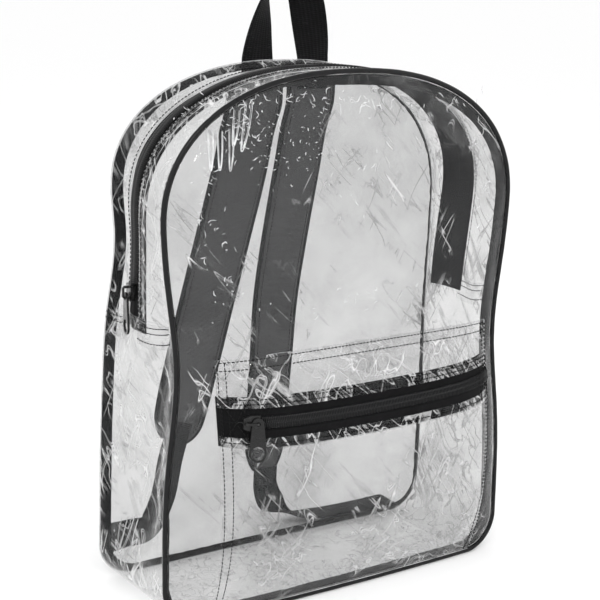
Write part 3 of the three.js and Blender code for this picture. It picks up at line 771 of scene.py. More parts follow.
def stretched(nodes, place, turn):
    """Places drawn out along one slanted way, so that what is painted from them runs that way."""
    mapped = nodes.add("ShaderNodeMapping", vector_type="TEXTURE", Rotation=turn, Scale=STREAK_STRETCH)
    nodes.link(place, mapped, "Vector")
    return mapped.outputs["Vector"]


def streaks(nodes, mapped, scale, width):
    """Thin long lines that bend a little: a painted highlight in place of the glints light draws on the ridges
    of a crumpled sheet.
    """
    away = nodes.math("SUBTRACT", nodes.noise(mapped, scale, 1), 0.5)
    return nodes.ramp(nodes.math("ABSOLUTE", away, 0), 0, width, 1, 0)


def vinyl_finish(name, clear, edge, haze, cover, ripple, run=PANEL_RUN):
    """Clear sheet: whiter as a painted reflection where it is seen at a slant, hazy in clouds, with painted
    highlight streaks and patches in place of the glints on its creases.
    """
    nodes = Nodes(name)
    place = nodes.place()
    facing = nodes.add("ShaderNodeLayerWeight", Blend=0.4).outputs["Facing"]
    slant = nodes.math("MULTIPLY", nodes.math("POWER", facing, SLANT_POWER), edge)
    spread = nodes.noise(place, 21, 3, 0.4)
    clouds = nodes.ramp(spread, 0.4, 0.66, 0, haze)
    # The streaks and patches below are painted highlights: white colour and opacity where glints would be
    lines = 0
    for turn, scale, width in STREAKS:
        mapped = stretched(nodes, place, [turn * axis for axis in run])
        lines = nodes.math("MAXIMUM", streaks(nodes, mapped, scale, width), lines)
    where = nodes.ramp(spread, 0.64 - cover, 0.71 - cover)
    low = 0.68 - cover / 3
    # Soft patches of painted highlight
    painted_sheen_patch = nodes.ramp(nodes.noise(mapped, 90, 3), low, low + 0.16, 0, 0.15 + 1.5 * cover)
    drawn = nodes.math("MULTIPLY", lines, nodes.math("MULTIPLY", where, 0.65))
    painted_glints = nodes.math("MAXIMUM", drawn, painted_sheen_patch)
    grey = nodes.math("ADD", nodes.math("ADD", slant, clouds), clear)
    light = nodes.add("ShaderNodeLightPath").outputs
    falling = nodes.math("MAXIMUM", light["Is Shadow Ray"], light["Is Diffuse Ray"])
    held = nodes.ramp(falling, 0, 1, 1, SHADE_CAST)
    shown = nodes.ramp(nodes.math("ADD", grey, painted_glints), 0, 1)
    nodes.link(nodes.math("MULTIPLY", shown, held), nodes.shader, "Alpha")
    # Painted highlights, and a painted reflection where the sheet is seen at a slant, turn the colour white
    painted_light_share = nodes.ramp(nodes.math("ADD", painted_glints, nodes.math("MULTIPLY", slant, SLANT_REFLECTION_WHITE)), 0, 1)
    nodes.colour(painted_light_share, VINYL_DIM_AND_GLINT_TINTS)
    nodes.link(nodes.ramp(spread, 0.3, 0.7, 0.04, 0.12), nodes.shader, "Roughness")
    nodes.set(IOR=1.53, Specular_IOR_Level=0.5, Coat_Weight=0.5, Coat_Roughness=0.03)
    nodes.bump(nodes.noise(place, 42, 2, 0.8), ripple)
    return nodes.material


def edge_finish():
    """The cut edge of the sheet, painted pale as a highlight for the light it gathers."""
    nodes = Nodes("vinyl_edge")
    place = nodes.place()
    nodes.colour(nodes.noise(place, 120), EDGE_HIGHLIGHT_GREYS)
    nodes.link(nodes.ramp(nodes.noise(place, 90), 0.35, 0.65, 0.35, 0.9), nodes.shader, "Alpha")
    nodes.set(Roughness=0.1, Coat_Weight=1.0, Coat_Roughness=0.03)
    nodes.bump(nodes.noise(place, 300), 0.1)
    return nodes.material


def piping_finish():
    nodes = Nodes("black_piping")
    place = nodes.place()
    nodes.colour(nodes.noise(place, 90), PLASTIC_BLACKS)
    nodes.link(nodes.ramp(nodes.noise(place, 240), 0.3, 0.7, 0.25, 0.45), nodes.shader, "Roughness")
    nodes.set(Specular_IOR_Level=0.22)
    nodes.bump(nodes.noise(place, 900, 4), 0.12)
    return nodes.material


def coil_finish():
    nodes = Nodes("black_coil")
    place = nodes.place()
    nodes.colour(nodes.noise(place, 700), PLASTIC_BLACKS)
    nodes.set(Roughness=0.3, Specular_IOR_Level=0.3)
    nodes.bump(nodes.noise(place, 2500, 2), 0.03)
    return nodes.material


def cloth(name, first, second, deep, tints, patches=60):
    """Woven cloth: two crossing sets of threads, in cycles per metre, that shade it and stand up a little."""
    nodes = Nodes(name)
    weave = nodes.weave()
    rows = nodes.wave(weave, first / WAVE_CYCLES, "X", 0.3)
    ends = nodes.wave(weave, second / WAVE_CYCLES, "Y", 0.3)
    threads = nodes.math("ADD", nodes.math("MULTIPLY", rows, 0.6), nodes.math("MULTIPLY", ends, 0.4))
    worn = nodes.math("MULTIPLY", threads, nodes.ramp(nodes.noise(weave, patches), 0.3, 0.7, 0.55, 1.15))
    nodes.colour(worn, tints)
    nodes.set(Roughness=0.75, Specular_IOR_Level=0.12, Sheen_Weight=0.04, Sheen_Roughness=0.4)
    nodes.bump(threads, deep)
    return nodes.material


def thread_finish():
    nodes = Nodes("black_thread")
    place = nodes.place()
    nodes.colour(nodes.noise(place, 900), THREAD_BLACKS)
    nodes.set(Roughness=0.6, Specular_IOR_Level=0.15)
    nodes.bump(nodes.wave(place, 420, "DIAGONAL", 1), 0.08)
    return nodes.material


def enamel_finish():
    nodes = Nodes("black_enamel")
    place = nodes.place()
    wear = nodes.ramp(nodes.noise(place, 320, 4), 0.62, 0.75)
    nodes.colour(wear, ENAMEL_BLACKS)
    nodes.link(nodes.ramp(nodes.noise(place, 180), 0.3, 0.7, 0.16, 0.34), nodes.shader, "Roughness")
    nodes.set(Metallic=0.2, Specular_IOR_Level=0.4, Coat_Weight=0.25, Coat_Roughness=0.12)
    nodes.bump(nodes.noise(place, 600, 2), 0.05)
    return nodes.material


# Each clear finish paints highlight streaks and patches and a painted reflection at a slant; cover sets how
# much painted highlight
VINYL_FINISH = vinyl_finish("clear_vinyl", clear=0.125, edge=0.2, haze=0.05, cover=0.06, ripple=3)
CREASED_FINISH = vinyl_finish("creased_vinyl", clear=0.02, edge=0.4, haze=0.07, cover=0.14, ripple=4)
STRIP_FINISH = vinyl_finish("strip_vinyl", clear=0.03, edge=0.4, haze=0.1, cover=0.24, ripple=4,
                            run=GUSSET_RUN)
CRUMPLED_FINISH = vinyl_finish("crumpled_vinyl", clear=0.04, edge=0.4, haze=0.08, cover=0.22, ripple=6,
                               run=GUSSET_RUN)
GLINT_FINISH = vinyl_finish("glinting_vinyl", clear=0.05, edge=0.5, haze=0.14, cover=0.36, ripple=5)
EDGE_FINISH = edge_finish()
PIPING_FINISH = piping_finish()
TAPE_FINISH = cloth("black_tape", 900, 1100, 0.2, TAPE_BLACKS)
COIL_FINISH = coil_finish()
BLACK_THREAD = thread_finish()
WEBBING_FINISH = cloth("black_webbing", 620, 300, 0.4, WEBBING_BLACKS)
PADDING_FINISH = cloth("strap_cloth", 900, 900, 0.25, PADDING_GREYS, 200)
ENAMEL_FINISH = enamel_finish()


# Camera

def add_camera():
    turn, rise = CAMERA_TURN, CAMERA_RISE
    back = Vector((math.sin(turn) * math.cos(rise), -math.cos(turn) * math.cos(rise), math.sin(rise)))
    right = (-back).cross(Vector((0, 0, 1))).normalized()
    up = right.cross(-back)
    side = right * math.cos(CAMERA_ROLL) + up * math.sin(CAMERA_ROLL)
    top = up * math.cos(CAMERA_ROLL) - right * math.sin(CAMERA_ROLL)
    lens = bpy.data.cameras.new("camera")
    lens.sensor_width = SENSOR_WIDTH
    lens.lens = CAMERA_FOCUS / IMAGE_SIZE * SENSOR_WIDTH
    lens.shift_x = (IMAGE_SIZE / 2 - CAMERA_CENTRE[0]) / IMAGE_SIZE
    lens.shift_y = (CAMERA_CENTRE[1] - IMAGE_SIZE / 2) / IMAGE_SIZE
    lens.clip_end = 100
    camera = bpy.data.objects.new("camera", lens)
    place = (Vector(CAMERA_TARGET) + back * CAMERA_DISTANCE) * MM
    camera.matrix_world = Matrix.Translation(place) @ Matrix((side, top, back)).transposed().to_4x4()
    bpy.context.scene.collection.objects.link(camera)
    bpy.context.scene.camera = camera


# Walls

def panel_grid(edge, surface, count):
    """A grid over a whole panel, from a square pressed into the panel's outline."""
    line = np.linspace(-1, 1, count)
    u, v = np.meshgrid(line, line, indexing="ij")
    x = u * np.sqrt(1 - v * v / 2)
    z = v * np.sqrt(1 - u * u / 2)
    share = np.minimum(np.hypot(x, z), 1)
    angle = np.arctan2(z, x)
    reach = reach_at(edge, angle) * share
    x = reach * np.cos(angle)
    z = PANEL_CENTRE + reach * np.sin(angle)
    return stack(x, surface(x, z), z), share


def add_panels():
    grid, share = panel_grid(FRONT_EDGE, front_at, 180)
    x, z = grid[..., 0], grid[..., 2]
    free = 1 - smooth((POCKET_TOP + 22 - z) / 20) * smooth((POCKET_HALF_WIDTH + 14 - np.abs(x)) / 12)
    edge = smooth((share - 0.72) / 0.24) * (1 - smooth((share - 0.965) / 0.03))
    height, length, seed = FRONT_CREASES
    relief = swell_relief(grid, *FRONT_SWELLS)
    relief = relief + crease_relief(grid, height + FRONT_EDGE_CREASES * edge, length, seed)
    grid[..., 1] += relief * free * (1 - smooth((share - 0.965) / 0.03))
    vinyl_piece("front_vinyl", grid, VINYL_FINISH, sharp=40)
    grid, share = panel_grid(BACK_EDGE, back_at, 150)
    hold = 1 - smooth((share - 0.94) / 0.05)
    relief = swell_relief(grid, *BACK_SWELLS) + crease_relief(grid, *BACK_CREASES)
    grid[..., 1] += relief * hold
    vinyl_piece("back_vinyl", grid, VINYL_FINISH, out=-1, sharp=40)


def gusset_grid(first, last, steps, low, high, columns, depth=0.0):
    station = np.linspace(first, last, steps)[:, None]
    low = low(station) if callable(low) else low
    high = high(station) if callable(high) else high
    share = lerp(low, high, np.linspace(0, 1, columns)[None, :])
    station, share = np.broadcast_arrays(station, share)
    return gusset(station, share, depth), share


ZIP_TAPES = ((-TAPE_HALF_WIDTH, -TAPE_SPLIT), (TAPE_SPLIT, TAPE_HALF_WIDTH))


def slit_hems(width):
    """The two strips of a width beside a zip's slit, each by its distances from the zip's middle."""
    return (-SLIT_HALF_WIDTH - width, -SLIT_HALF_WIDTH), (SLIT_HALF_WIDTH, SLIT_HALF_WIDTH + width)


def zip_edge(away):
    """The share of the gusset's width at a distance from the zip's middle, for each station."""
    return lambda station: zip_share(station) + away / BAG_DEPTH


SEAM = 0.8 / BAG_DEPTH
SLIT = SLIT_HALF_WIDTH / BAG_DEPTH


def add_gussets():
    grid, share = gusset_grid(LEFT_JOIN, STATIONS + RIGHT_JOIN, GUSSET_STEPS, SEAM, 1 - SEAM / 2, 56)
    out = grid_normals(grid)
    side = smooth(grid[..., 2] / 60) * (1 - smooth((grid[..., 2] - LOWER_CREASE_TOP) / 25))
    held = 1 - np.abs(2 * share - 1) ** 6
    left = np.where(grid[..., 0] < 0, 1.0, 0.7)
    relief = crease_relief(grid, *LOWER_FOLDS) + crease_relief(grid, *LOWER_CREASES)
    grid = grid + out * (relief * side * held * left)[..., None]
    vinyl_piece("lower_vinyl", grid, CRUMPLED_FINISH, out=-1, sharp=25)
    for name, low, high, columns, seed in (
        ("zip_front_vinyl", SEAM, zip_edge(-SLIT_HALF_WIDTH), 22, 41),
        ("zip_back_vinyl", zip_edge(SLIT_HALF_WIDTH), 1 - SEAM / 2, 18, 42),
    ):
        grid, _ = gusset_grid(RIGHT_JOIN, LEFT_JOIN, STRIP_STEPS, low, high, columns)
        across = np.linspace(0, 1, columns)[None, :]
        held = (1 - np.abs(2 * across - 1) ** 4) * smooth((grid[..., 2] - JOIN_HEIGHT) / 20)
        relief = crease_relief(grid, *STRIP_CREASES, seed, 4)
        grid = grid - grid_normals(grid) * (relief * held)[..., None]
        vinyl_piece(name, grid, STRIP_FINISH, out=-1, sharp=25)


def add_piping():
    station = np.linspace(0, STATIONS, 620, endpoint=False)
    x, z = front_outline(station)
    way = inward(front_outline, station)
    path = stack(x + way[0] * PIPING_RADIUS, front_plane(x, z), z + way[1] * PIPING_RADIUS)
    along = unit(np.roll(path, -1, axis=0) - np.roll(path, 1, axis=0))
    out = unit(stack(way[0], 0 * x, way[1]))
    across = unit(np.cross(out, along))
    radii = PIPING_RADIUS * (1 + 0.05 * swells(path, 16, 51))
    points = tube_points(path, across, out, radii, 12)
    faces = loft_faces(len(path), 12, True)
    mesh_piece("piping", points.reshape(-1, 3), faces, PIPING_FINISH, sharp=60)


# Fine ribs of creased sheet, in the pale edge finish as painted highlights where the sheet would catch the
# light

def rib_form(path, out, width):
    _, across, turned = frames_along(path, np.broadcast_to(out, path.shape))
    radii = width * np.sin(math.pi * np.linspace(0.06, 0.94, len(path)))
    return tube_points(path, across, turned, radii, 5)


def add_ribs(name, paths, outs, widths):
    points, faces, start = [], [], 0
    for path, out, width in zip(paths, outs, widths):
        ring = rib_form(path, out, width).reshape(-1, 3)
        faces += repeat_faces(loft_faces(len(path), 5, False), 0, 1, start)
        points.append(ring)
        start += len(ring)
    return mesh_piece(name, np.concatenate(points), faces, EDGE_FINISH, sharp=70)


def bent_line(draw, length, bend, steps=7):
    """A short line round the origin that bends one way or the other: places along and aside."""
    places = np.linspace(-0.5, 0.5, steps)
    turn = draw.uniform(0, 2 * math.pi)
    curl = draw.uniform(-bend, bend)
    along = places * length
    aside = curl * length * (0.25 - places ** 2) * 2 + 0.05 * length * np.sin(places * 7 + turn)
    return along * math.cos(turn) - aside * math.sin(turn), along * math.sin(turn) + aside * math.cos(turn)


def add_front_ribs():
    draw = np.random.default_rng(81)
    paths, widths = [], []
    for x0, z0, wide, tall, count, length in FRONT_RIB_ZONES:
        for _ in range(count):
            x, z = x0 + wide * draw.normal() / 2, z0 + tall * draw.normal() / 2
            dx, dz = bent_line(draw, length * draw.uniform(0.3, 1.2), 0.5)
            paths.append((x + dx, z + dz))
            widths.append(draw.uniform(0.2, 0.5))
    for x0, z0, wide, tall, lean in FRONT_LOOPS:
        for size in (1, 0.62):
            angle = np.linspace(-0.15, 1.15, 16) * math.pi
            x = x0 - wide * size * np.cos(angle) / 2
            z = z0 - tall * np.maximum(np.sin(angle), -0.2) * lerp(0.8, 1, size)
            paths.append((x + lean * (z - z0), z))
            widths.append(0.5 * size)
    made = [stack(x, front_at(x, z) - RIB_LIFT, z) for x, z in paths]
    add_ribs("front_ribs", made, [np.array([0, -1.0, 0])] * len(made), widths)


# Bindings: how far the tape turns from lying along the panel (0) to lying along the gusset (1)

FRONT_TURNS = (
    (0, 0.9), (8, 0.9), (12, 0.35), (18, 0.2), (22, 0.1), (28, 0.05), (34, 0.15), (38, 0.7), (42, 0.95),
    (50, 0.95), (53, 0.62), (58, 0.62), (62, 0.9),
)
BACK_TURNS = (
    (0, 0.3), (12, 0.35), (21, 0.5), (30, 0.6), (40, 0.75), (47, 0.4), (51, 0.1), (58, 0.15), (62, 0.3),
)


def add_binding(name, shape, plane, into, start, turns, seed):
    station = np.linspace(0, STATIONS, 700)[:, None]
    across = np.linspace(0, 1, 9)[None, :]
    x, z = shape(station)
    way = inward(shape, station)
    turn = eased(turns, np.mod(station, STATIONS)) * math.pi / 2
    far = across * BINDING_WIDTH
    depth = start + far * np.cos(turn)
    y = plane(x, z) + into * (0.9 + far * np.sin(turn))
    grid = stack(x + way[0] * depth, y, z + way[1] * depth)
    lift = crease_relief(grid, *BINDING_CREASES, seed, 4) + crease_relief(grid, *BINDING_GRAIN, seed + 1, 3)
    lift = across * lift
    rough = stack(-way[0] * np.sin(turn), into * np.cos(turn), -way[1] * np.sin(turn))
    grid = grid + rough * np.abs(lift)[..., None]
    sheet_piece(name, grid, BINDING_THICKNESS, TAPE_FINISH, out=-into, sharp=30)


def add_bindings():
    front_start, back_start = 2 * PIPING_RADIUS + GAP, 3 * GAP
    add_binding("front_seam_tape", front_outline, front_plane, 1, front_start, FRONT_TURNS, 61)
    add_binding("back_seam_tape", back_outline, lambda x, z: back_plane(z), -1, back_start, BACK_TURNS, 63)


# Zips

def coil_tooth(side):
    """One tooth of a coil, as a bent wire from the tape's edge over to the middle."""
    path = np.array([
        (0, 4.9, 0.4),
        (0, 4.75, 1.5),
        (0.05, 3.9, 2.3),
        (0.15, 2.2, 2.5),
        (0.3, 0.6, 2.4),
        (0.4, -0.6, 1.9),
        (0.4, -1.0, 1.0),
    ], float)
    path[:, 1] *= side
    along = unit(np.gradient(path, axis=0))
    across = unit(np.cross(along, np.array([1.0, 0, 0])))
    out = unit(np.cross(along, across))
    radii = COIL_WIRE * np.array([0.8, 1, 1, 1, 1, 1, 0.7])
    points = tube_points(path, across, out, radii, 6)
    return points.reshape(-1, 3), loft_faces(len(path), 6, False)


def add_chain(name, path, out):
    even, out = resample(path, out, COIL_PITCH)
    for word, side, shift in (("a", 1, 0), ("b", -1, COIL_PITCH / 2)):
        template, faces = coil_tooth(side)
        template = template + np.array([shift, 0, 0])
        points = set_copies(template, even, out).reshape(-1, 3)
        every = repeat_faces(faces, len(template), len(even))
        mesh_piece(f"{name}_{word}", points, every, COIL_FINISH)


def stitch_form():
    places = np.array([-0.5, -0.34, 0, 0.34, 0.5]) * STITCH_LENGTH
    radii = STITCH_WIDTH / 2 * np.array([0.3, 0.95, 1, 0.95, 0.3])
    path = stack(places, 0 * places, np.array([-0.25, 0.12, 0.25, 0.12, -0.25]))
    count = len(places)
    across = np.tile([0, 1.0, 0], (count, 1))
    out = np.tile([0, 0, 1.0], (count, 1))
    return tube_points(path, across, out, radii, 6).reshape(-1, 3), loft_faces(count, 6, False)


def add_stitches(name, rows):
    """Rows of thread. Each row is a path and the directions out of it."""
    template, faces = stitch_form()
    points, every, start = [], [], 0
    for path, out in rows:
        made = set_copies(template, *resample(path, out, STITCH_PITCH))
        points.append(made.reshape(-1, 3))
        every += repeat_faces(faces, len(template), len(made), start)
        start += len(made) * len(template)
    return mesh_piece(name, np.concatenate(points), every, BLACK_THREAD)


def gusset_row(stations, share, lift=0.3):
    """A path over the gusset's outer face and the directions out of it."""
    share = share(stations) if callable(share) else share
    path = gusset(stations, share, -lift)
    out = unit(path - gusset(stations, share, 4))
    return path, out


def side_station(side, height):
    """The station on the left (-1) or right (1) side at a height about the join's."""
    drop = (JOIN_HEIGHT - height) / LOW_STEP
    return LEFT_JOIN + drop if side < 0 else RIGHT_JOIN - drop


def join_station(side, drop, way, lean):
    """The station at a drop under the join, which sags in the middle of its way and leans at its start."""
    return side_station(side, JOIN_HEIGHT - drop - JOIN_SAG * np.sin(math.pi * way) + lean * (1 - way))


def add_joins():
    """The seams where the zip's part of the gusset meets the lower part: a hem under rows of thread."""
    way = np.linspace(0, 1, 60)
    hem = np.linspace(1, JOIN_HEM, 18)[:, None]
    rows = []
    for side, word in ((-1, "left"), (1, "right")):
        middle = float(zip_share(np.array(side_station(side, JOIN_HEIGHT))))
        parts = (
            ("front", SEAM * 3, middle - SLIT, JOIN_LEAN, JOIN_ROWS),
            ("back", middle + SLIT, 1 - SEAM * 2, 0, JOIN_ROWS[:2]),
        )
        for part, low, high, lean, drops in parts:
            share = lerp(low, high, way)
            grid = gusset(join_station(side, hem, way, lean), share, -0.35)
            grid = grid - grid_normals(grid) * crease_relief(grid, *HEM_CREASES)[..., None]
            vinyl_piece(f"join_hem_{word}_{part}", grid, CREASED_FINISH, HEM, side)
            for drop in drops:
                rows.append(gusset_row(join_station(side, drop, way, lean), share, HEM_STITCH_LIFT))
    add_stitches("join_stitches", rows)


def add_zip_hems():
    """The folded edges of the two strips beside the main zip."""
    for name, (low, high) in zip(("zip_hem_front", "zip_hem_back"), slit_hems(ZIP_HEM)):
        ends = (RIGHT_JOIN + 0.05, LEFT_JOIN - 0.05)
        grid, _ = gusset_grid(*ends, GUSSET_STEPS, zip_edge(low), zip_edge(high), 9, -HEM_LIFT)
        across = np.linspace(0, 1, 9)[None, :]
        wave = np.abs(crease_relief(grid, *ZIP_HEM_CREASES)) * np.sin(math.pi * across)
        grid = grid - grid_normals(grid) * wave[..., None]
        vinyl_piece(name, grid, CREASED_FINISH, HEM, -1)


def add_main_zip():
    tuck = TAPE_TUCK / LOW_STEP
    for name, (low, high) in zip(("main_tape_front", "main_tape_back"), ZIP_TAPES):
        ends = (RIGHT_JOIN - tuck, LEFT_JOIN + tuck)
        grid, _ = gusset_grid(*ends, GUSSET_STEPS, zip_edge(low), zip_edge(high), 8, TAPE_INSET)
        sheet_piece(name, grid, TAPE_THICKNESS, TAPE_FINISH, out=-1)
    end = left_station(JOIN_HEIGHT + MAIN_SLIDER_RISE + SLIDER_LENGTH / 2 + 2 * GAP)
    station = np.linspace(RIGHT_JOIN + 0.02, end, 700)
    path = gusset(station, zip_share(station), TAPE_INSET - GAP)
    out = unit(gusset(station, zip_share(station), -4) - path)
    add_chain("main_coil", path, out)
    station = np.linspace(RIGHT_JOIN + 0.05, LEFT_JOIN - 0.05, 900)
    rows = [gusset_row(station, zip_edge(away), ZIP_STITCH_LIFT) for away in MAIN_ZIP_ROWS]
    add_stitches("main_zip_stitches", rows)


def pocket_row(across, height, lift=0.3):
    path = pocket(across, height, -lift)
    out = np.tile([0, -1.0, 0.02], (len(path), 1))
    return path, out


def add_pocket_sheets():
    across = np.linspace(-1, 1, POCKET_STEPS)[:, None]
    top_rows = np.linspace(0, 1, 34)[None, :]
    face_rows = np.linspace(0, 1, 110)[None, :]
    top = pocket(across, lerp(pocket_zip(across) + SLIT_HALF_WIDTH, POCKET_TOP, top_rows))
    face = pocket(across, lerp(POCKET_FOOT, pocket_zip(across) - SLIT_HALF_WIDTH, face_rows))
    for name, grid, rows, size, seed, finish in (
        ("pocket_top_vinyl", top, top_rows, 2, 71, GLINT_FINISH),
        ("pocket_vinyl", face, face_rows, 1.8, 72, CREASED_FINISH),
    ):
        held = (1 - np.abs(2 * rows - 1) ** 6) * (1 - np.abs(across) ** 10)
        corner = 1 + 1.2 * hump(np.abs(grid[..., 0]) - 112, 26)
        height, length, shift = POCKET_SWELLS
        relief = crease_relief(grid, size * corner, POCKET_CREASE_LENGTH, seed, 5)
        relief = relief + swell_relief(grid, height, length, seed + shift)
        grid[..., 1] -= np.maximum(relief, -1.0) * held
        vinyl_piece(name, grid, finish)


def add_pocket_zip():
    """The hems along the slit, the tapes behind it and the two rows of coil."""
    across = np.linspace(-1, 1, POCKET_STEPS)[:, None]
    wide = np.linspace(0, 1, 7)[None, :]
    for name, (low, high) in zip(("pocket_hem_upper", "pocket_hem_lower"), reversed(slit_hems(POCKET_HEM))):
        grid = pocket(across, pocket_zip(across) + lerp(low, high, wide), -0.4)
        grid[..., 1] -= np.abs(crease_relief(grid, *POCKET_HEM_CREASES)) * np.sin(math.pi * wide)
        vinyl_piece(name, grid, GLINT_FINISH, POCKET_HEM_THICKNESS)
    for name, (low, high) in zip(("pocket_tape_upper", "pocket_tape_lower"), reversed(ZIP_TAPES)):
        grid = pocket(across, pocket_zip(across) + lerp(low, high, wide), TAPE_INSET)
        sheet_piece(name, grid, TAPE_THICKNESS, TAPE_FINISH)
    start = (POCKET_SLIDER_X + SLIDER_LENGTH / 2 + GAP) / POCKET_HALF_WIDTH
    line = np.linspace(start, 1, 300)
    path = pocket(line, pocket_zip(line), TAPE_INSET - GAP)
    add_chain("pocket_coil", path, np.tile([0, -1.0, 0.1], (len(path), 1)))


def bar_tacks():
    """The crosses and bars of thread over both ends of the pocket's zip."""
    rows = []
    for start in (-1, POCKET_TACK):
        for rise in (-1, 1):
            tack = np.linspace(start, start + 1 - POCKET_TACK, 30)
            slope = np.linspace(-rise, rise, 30) * (SLIT_HALF_WIDTH + 4)
            rows.append(pocket_row(tack * POCKET_ROW_END, pocket_zip(tack) + slope, TACK_LIFT))
    for place in (-POCKET_ROW_END, -POCKET_TACK, POCKET_TACK, POCKET_ROW_END):
        drop = np.linspace(-1, 1, 40) * (SLIT_HALF_WIDTH + 6)
        rows.append(pocket_row(place + 0 * drop, pocket_zip(place) + drop, TACK_LIFT))
    return rows


def add_pocket_stitches():
    line = np.linspace(-POCKET_ROW_END, POCKET_ROW_END, 400)
    rows = [pocket_row(line, 0 * line + POCKET_TOP - away) for away in POCKET_TOP_ROWS]
    rows += [pocket_row(line, pocket_zip(line) + away, HEM_STITCH_LIFT) for away in POCKET_ZIP_ROWS]
    rows += bar_tacks()
    for side in (-1, 1):
        for away in POCKET_SIDE_ROWS:
            height = np.linspace(POCKET_FOOT + 1, POCKET_TOP - 2, 300)
            rows.append(pocket_row(0 * height + side * (1 - away / POCKET_HALF_WIDTH), height))
    add_stitches("pocket_stitches", rows)


# Handle and straps

def curve_through(points, shares):
    """Points on a smooth curve through others, at even shares of its stretches."""
    points = np.asarray(points, float)
    last = len(points) - 1
    made = []
    for share in shares:
        place = share * last
        step = min(int(place), last - 1)
        way = place - step
        here, there = points[step], points[step + 1]
        before = points[step - 1] if step > 0 else 2 * points[0] - points[1]
        after = points[step + 2] if step + 2 <= last else 2 * points[-1] - points[-2]
        first, middle, final = (max(np.linalg.norm(b - a) ** 0.5, 1e-4)
                                for a, b in ((before, here), (here, there), (there, after)))
        straight = (there - here) / middle
        leave = ((here - before) / first - (there - before) / (first + middle) + straight) * middle
        reach = (straight - (after - here) / (middle + final) + (after - there) / final) * middle
        made.append(here + leave * way + (3 * (there - here) - 2 * leave - reach) * way ** 2
                    + (2 * (here - there) + leave + reach) * way ** 3)
    return np.array(made)


def row_values(shares, rows, column):
    """The values of a table's column at shares of the way through its rows."""
    return np.interp(shares * (len(rows) - 1), np.arange(len(rows)), [row[column] for row in rows])


def band_ring(width, thickness, sides=20, power=4.0):
    """A flat cross-section with round edges: places across and out."""
    angle = np.linspace(0, 2 * math.pi, sides, endpoint=False)
    across = np.sign(np.cos(angle)) * np.abs(np.cos(angle)) ** (2 / power)
    out = np.sign(np.sin(angle)) * np.abs(np.sin(angle)) ** (2 / power)
    return across * width / 2, out * thickness / 2


def band_piece(name, centres, across, out, widths, thickness, finish, power=6.0, sides=28):
    rings, weave = [], []
    far = np.concatenate([[0], np.cumsum(np.linalg.norm(np.diff(centres, axis=0), axis=1))])
    for step, centre in enumerate(centres):
        wide, deep = band_ring(widths[step], thickness[step], sides, power)
        rings.append(centre + wide[:, None] * across[step] + deep[:, None] * out[step])
        weave.append(stack(far[step] + 0 * wide, wide, 0 * wide))
    points = np.concatenate(rings)
    faces = loft_faces(len(centres), sides, False)
    return mesh_piece(name, points, faces, finish, weave=np.concatenate(weave), sharp=50)


def strap_centres(rows, thickness):
    centres = []
    for height, side, stand, _, _ in rows:
        x = side * HALF_WIDTH
        z = height * BAG_HEIGHT
        seat = float(back_at(np.array(x), np.array(z))) + VINYL / 2 + GAP + thickness / 2
        centres.append((x, seat + stand * STRAP_REACH, z))
    return centres


def band_frames(centres, lay):
    along = unit(np.gradient(centres, axis=0))
    lay = np.broadcast_to(lay, len(centres)) * math.pi / 2
    across = unit(np.cross(along, stack(0, np.cos(lay), np.sin(lay))))
    return across, unit(np.cross(across, along))


def add_strap(word, rows):
    shares = np.linspace(0, 1, 150)
    centres = curve_through(strap_centres(rows, STRAP_THICKNESS), shares)
    across, out = band_frames(centres, 0)
    widths = row_values(shares, rows, 3) * STRAP_WIDTH
    ends = smooth(np.minimum(shares, 1 - shares) / 0.03)
    past = np.maximum(shares - ROUND_START, 0) / ROUND_LENGTH
    widths = widths * np.sqrt(np.maximum(1 - past ** 2, 0))
    thickness = STRAP_THICKNESS * lerp(0.55, 0.92, ends)
    strap = band_piece(f"strap_{word}_pad", centres, across, out, widths - 1.5, thickness, PADDING_FINISH,
                       power=3.2, sides=36)
    stitches = []
    for side, end in ((-1, "l"), (1, "r")):
        edge = centres + across * (side * (widths / 2 - TRIM_INSET))[:, None]
        band_piece(f"strap_{word}_trim_{end}", edge, across, out, 0 * widths + TRIM_WIDTH,
                   thickness * 0.62 + 0.9, WEBBING_FINISH, power=2.6, sides=16)
        for face in (-1, 1):
            line = centres + across * (side * (widths / 2 - STRAP_ROW_INSET))[:, None]
            line = line + out * (face * thickness * 0.47)[:, None]
            stitches.append((line[4:-4], out[4:-4] * face))
    add_stitches(f"strap_{word}_stitches", stitches)


def add_webbing(word, rows):
    shares = np.linspace(0, 1, 90)
    centres = curve_through(strap_centres(rows, WEBBING_THICKNESS), shares)
    lay = row_values(shares, rows, 4)
    across, out = band_frames(centres, lay)
    width, thickness = 0 * shares + WEBBING_WIDTH, 0 * shares + WEBBING_THICKNESS
    band_piece(f"webbing_{word}", centres, across, out, width, thickness, WEBBING_FINISH)
    ends = np.array(strap_centres(rows, WEBBING_THICKNESS)[-2:])
    way = unit(ends[1] - ends[0])
    path = ends[1] + way * np.linspace(GAP, GAP + ANCHOR_LENGTH, 30)[:, None]
    across, out = band_frames(path, rows[-1][4])
    path = path + out * crease_relief(path, *ANCHOR_CREASES)[:, None]
    widths = lerp(WEBBING_WIDTH, ANCHOR_WIDTH, np.linspace(0, 1, 30))
    thickness = 0 * widths + WEBBING_THICKNESS
    band_piece(f"anchor_{word}", path, across, out, widths, thickness, WEBBING_FINISH)


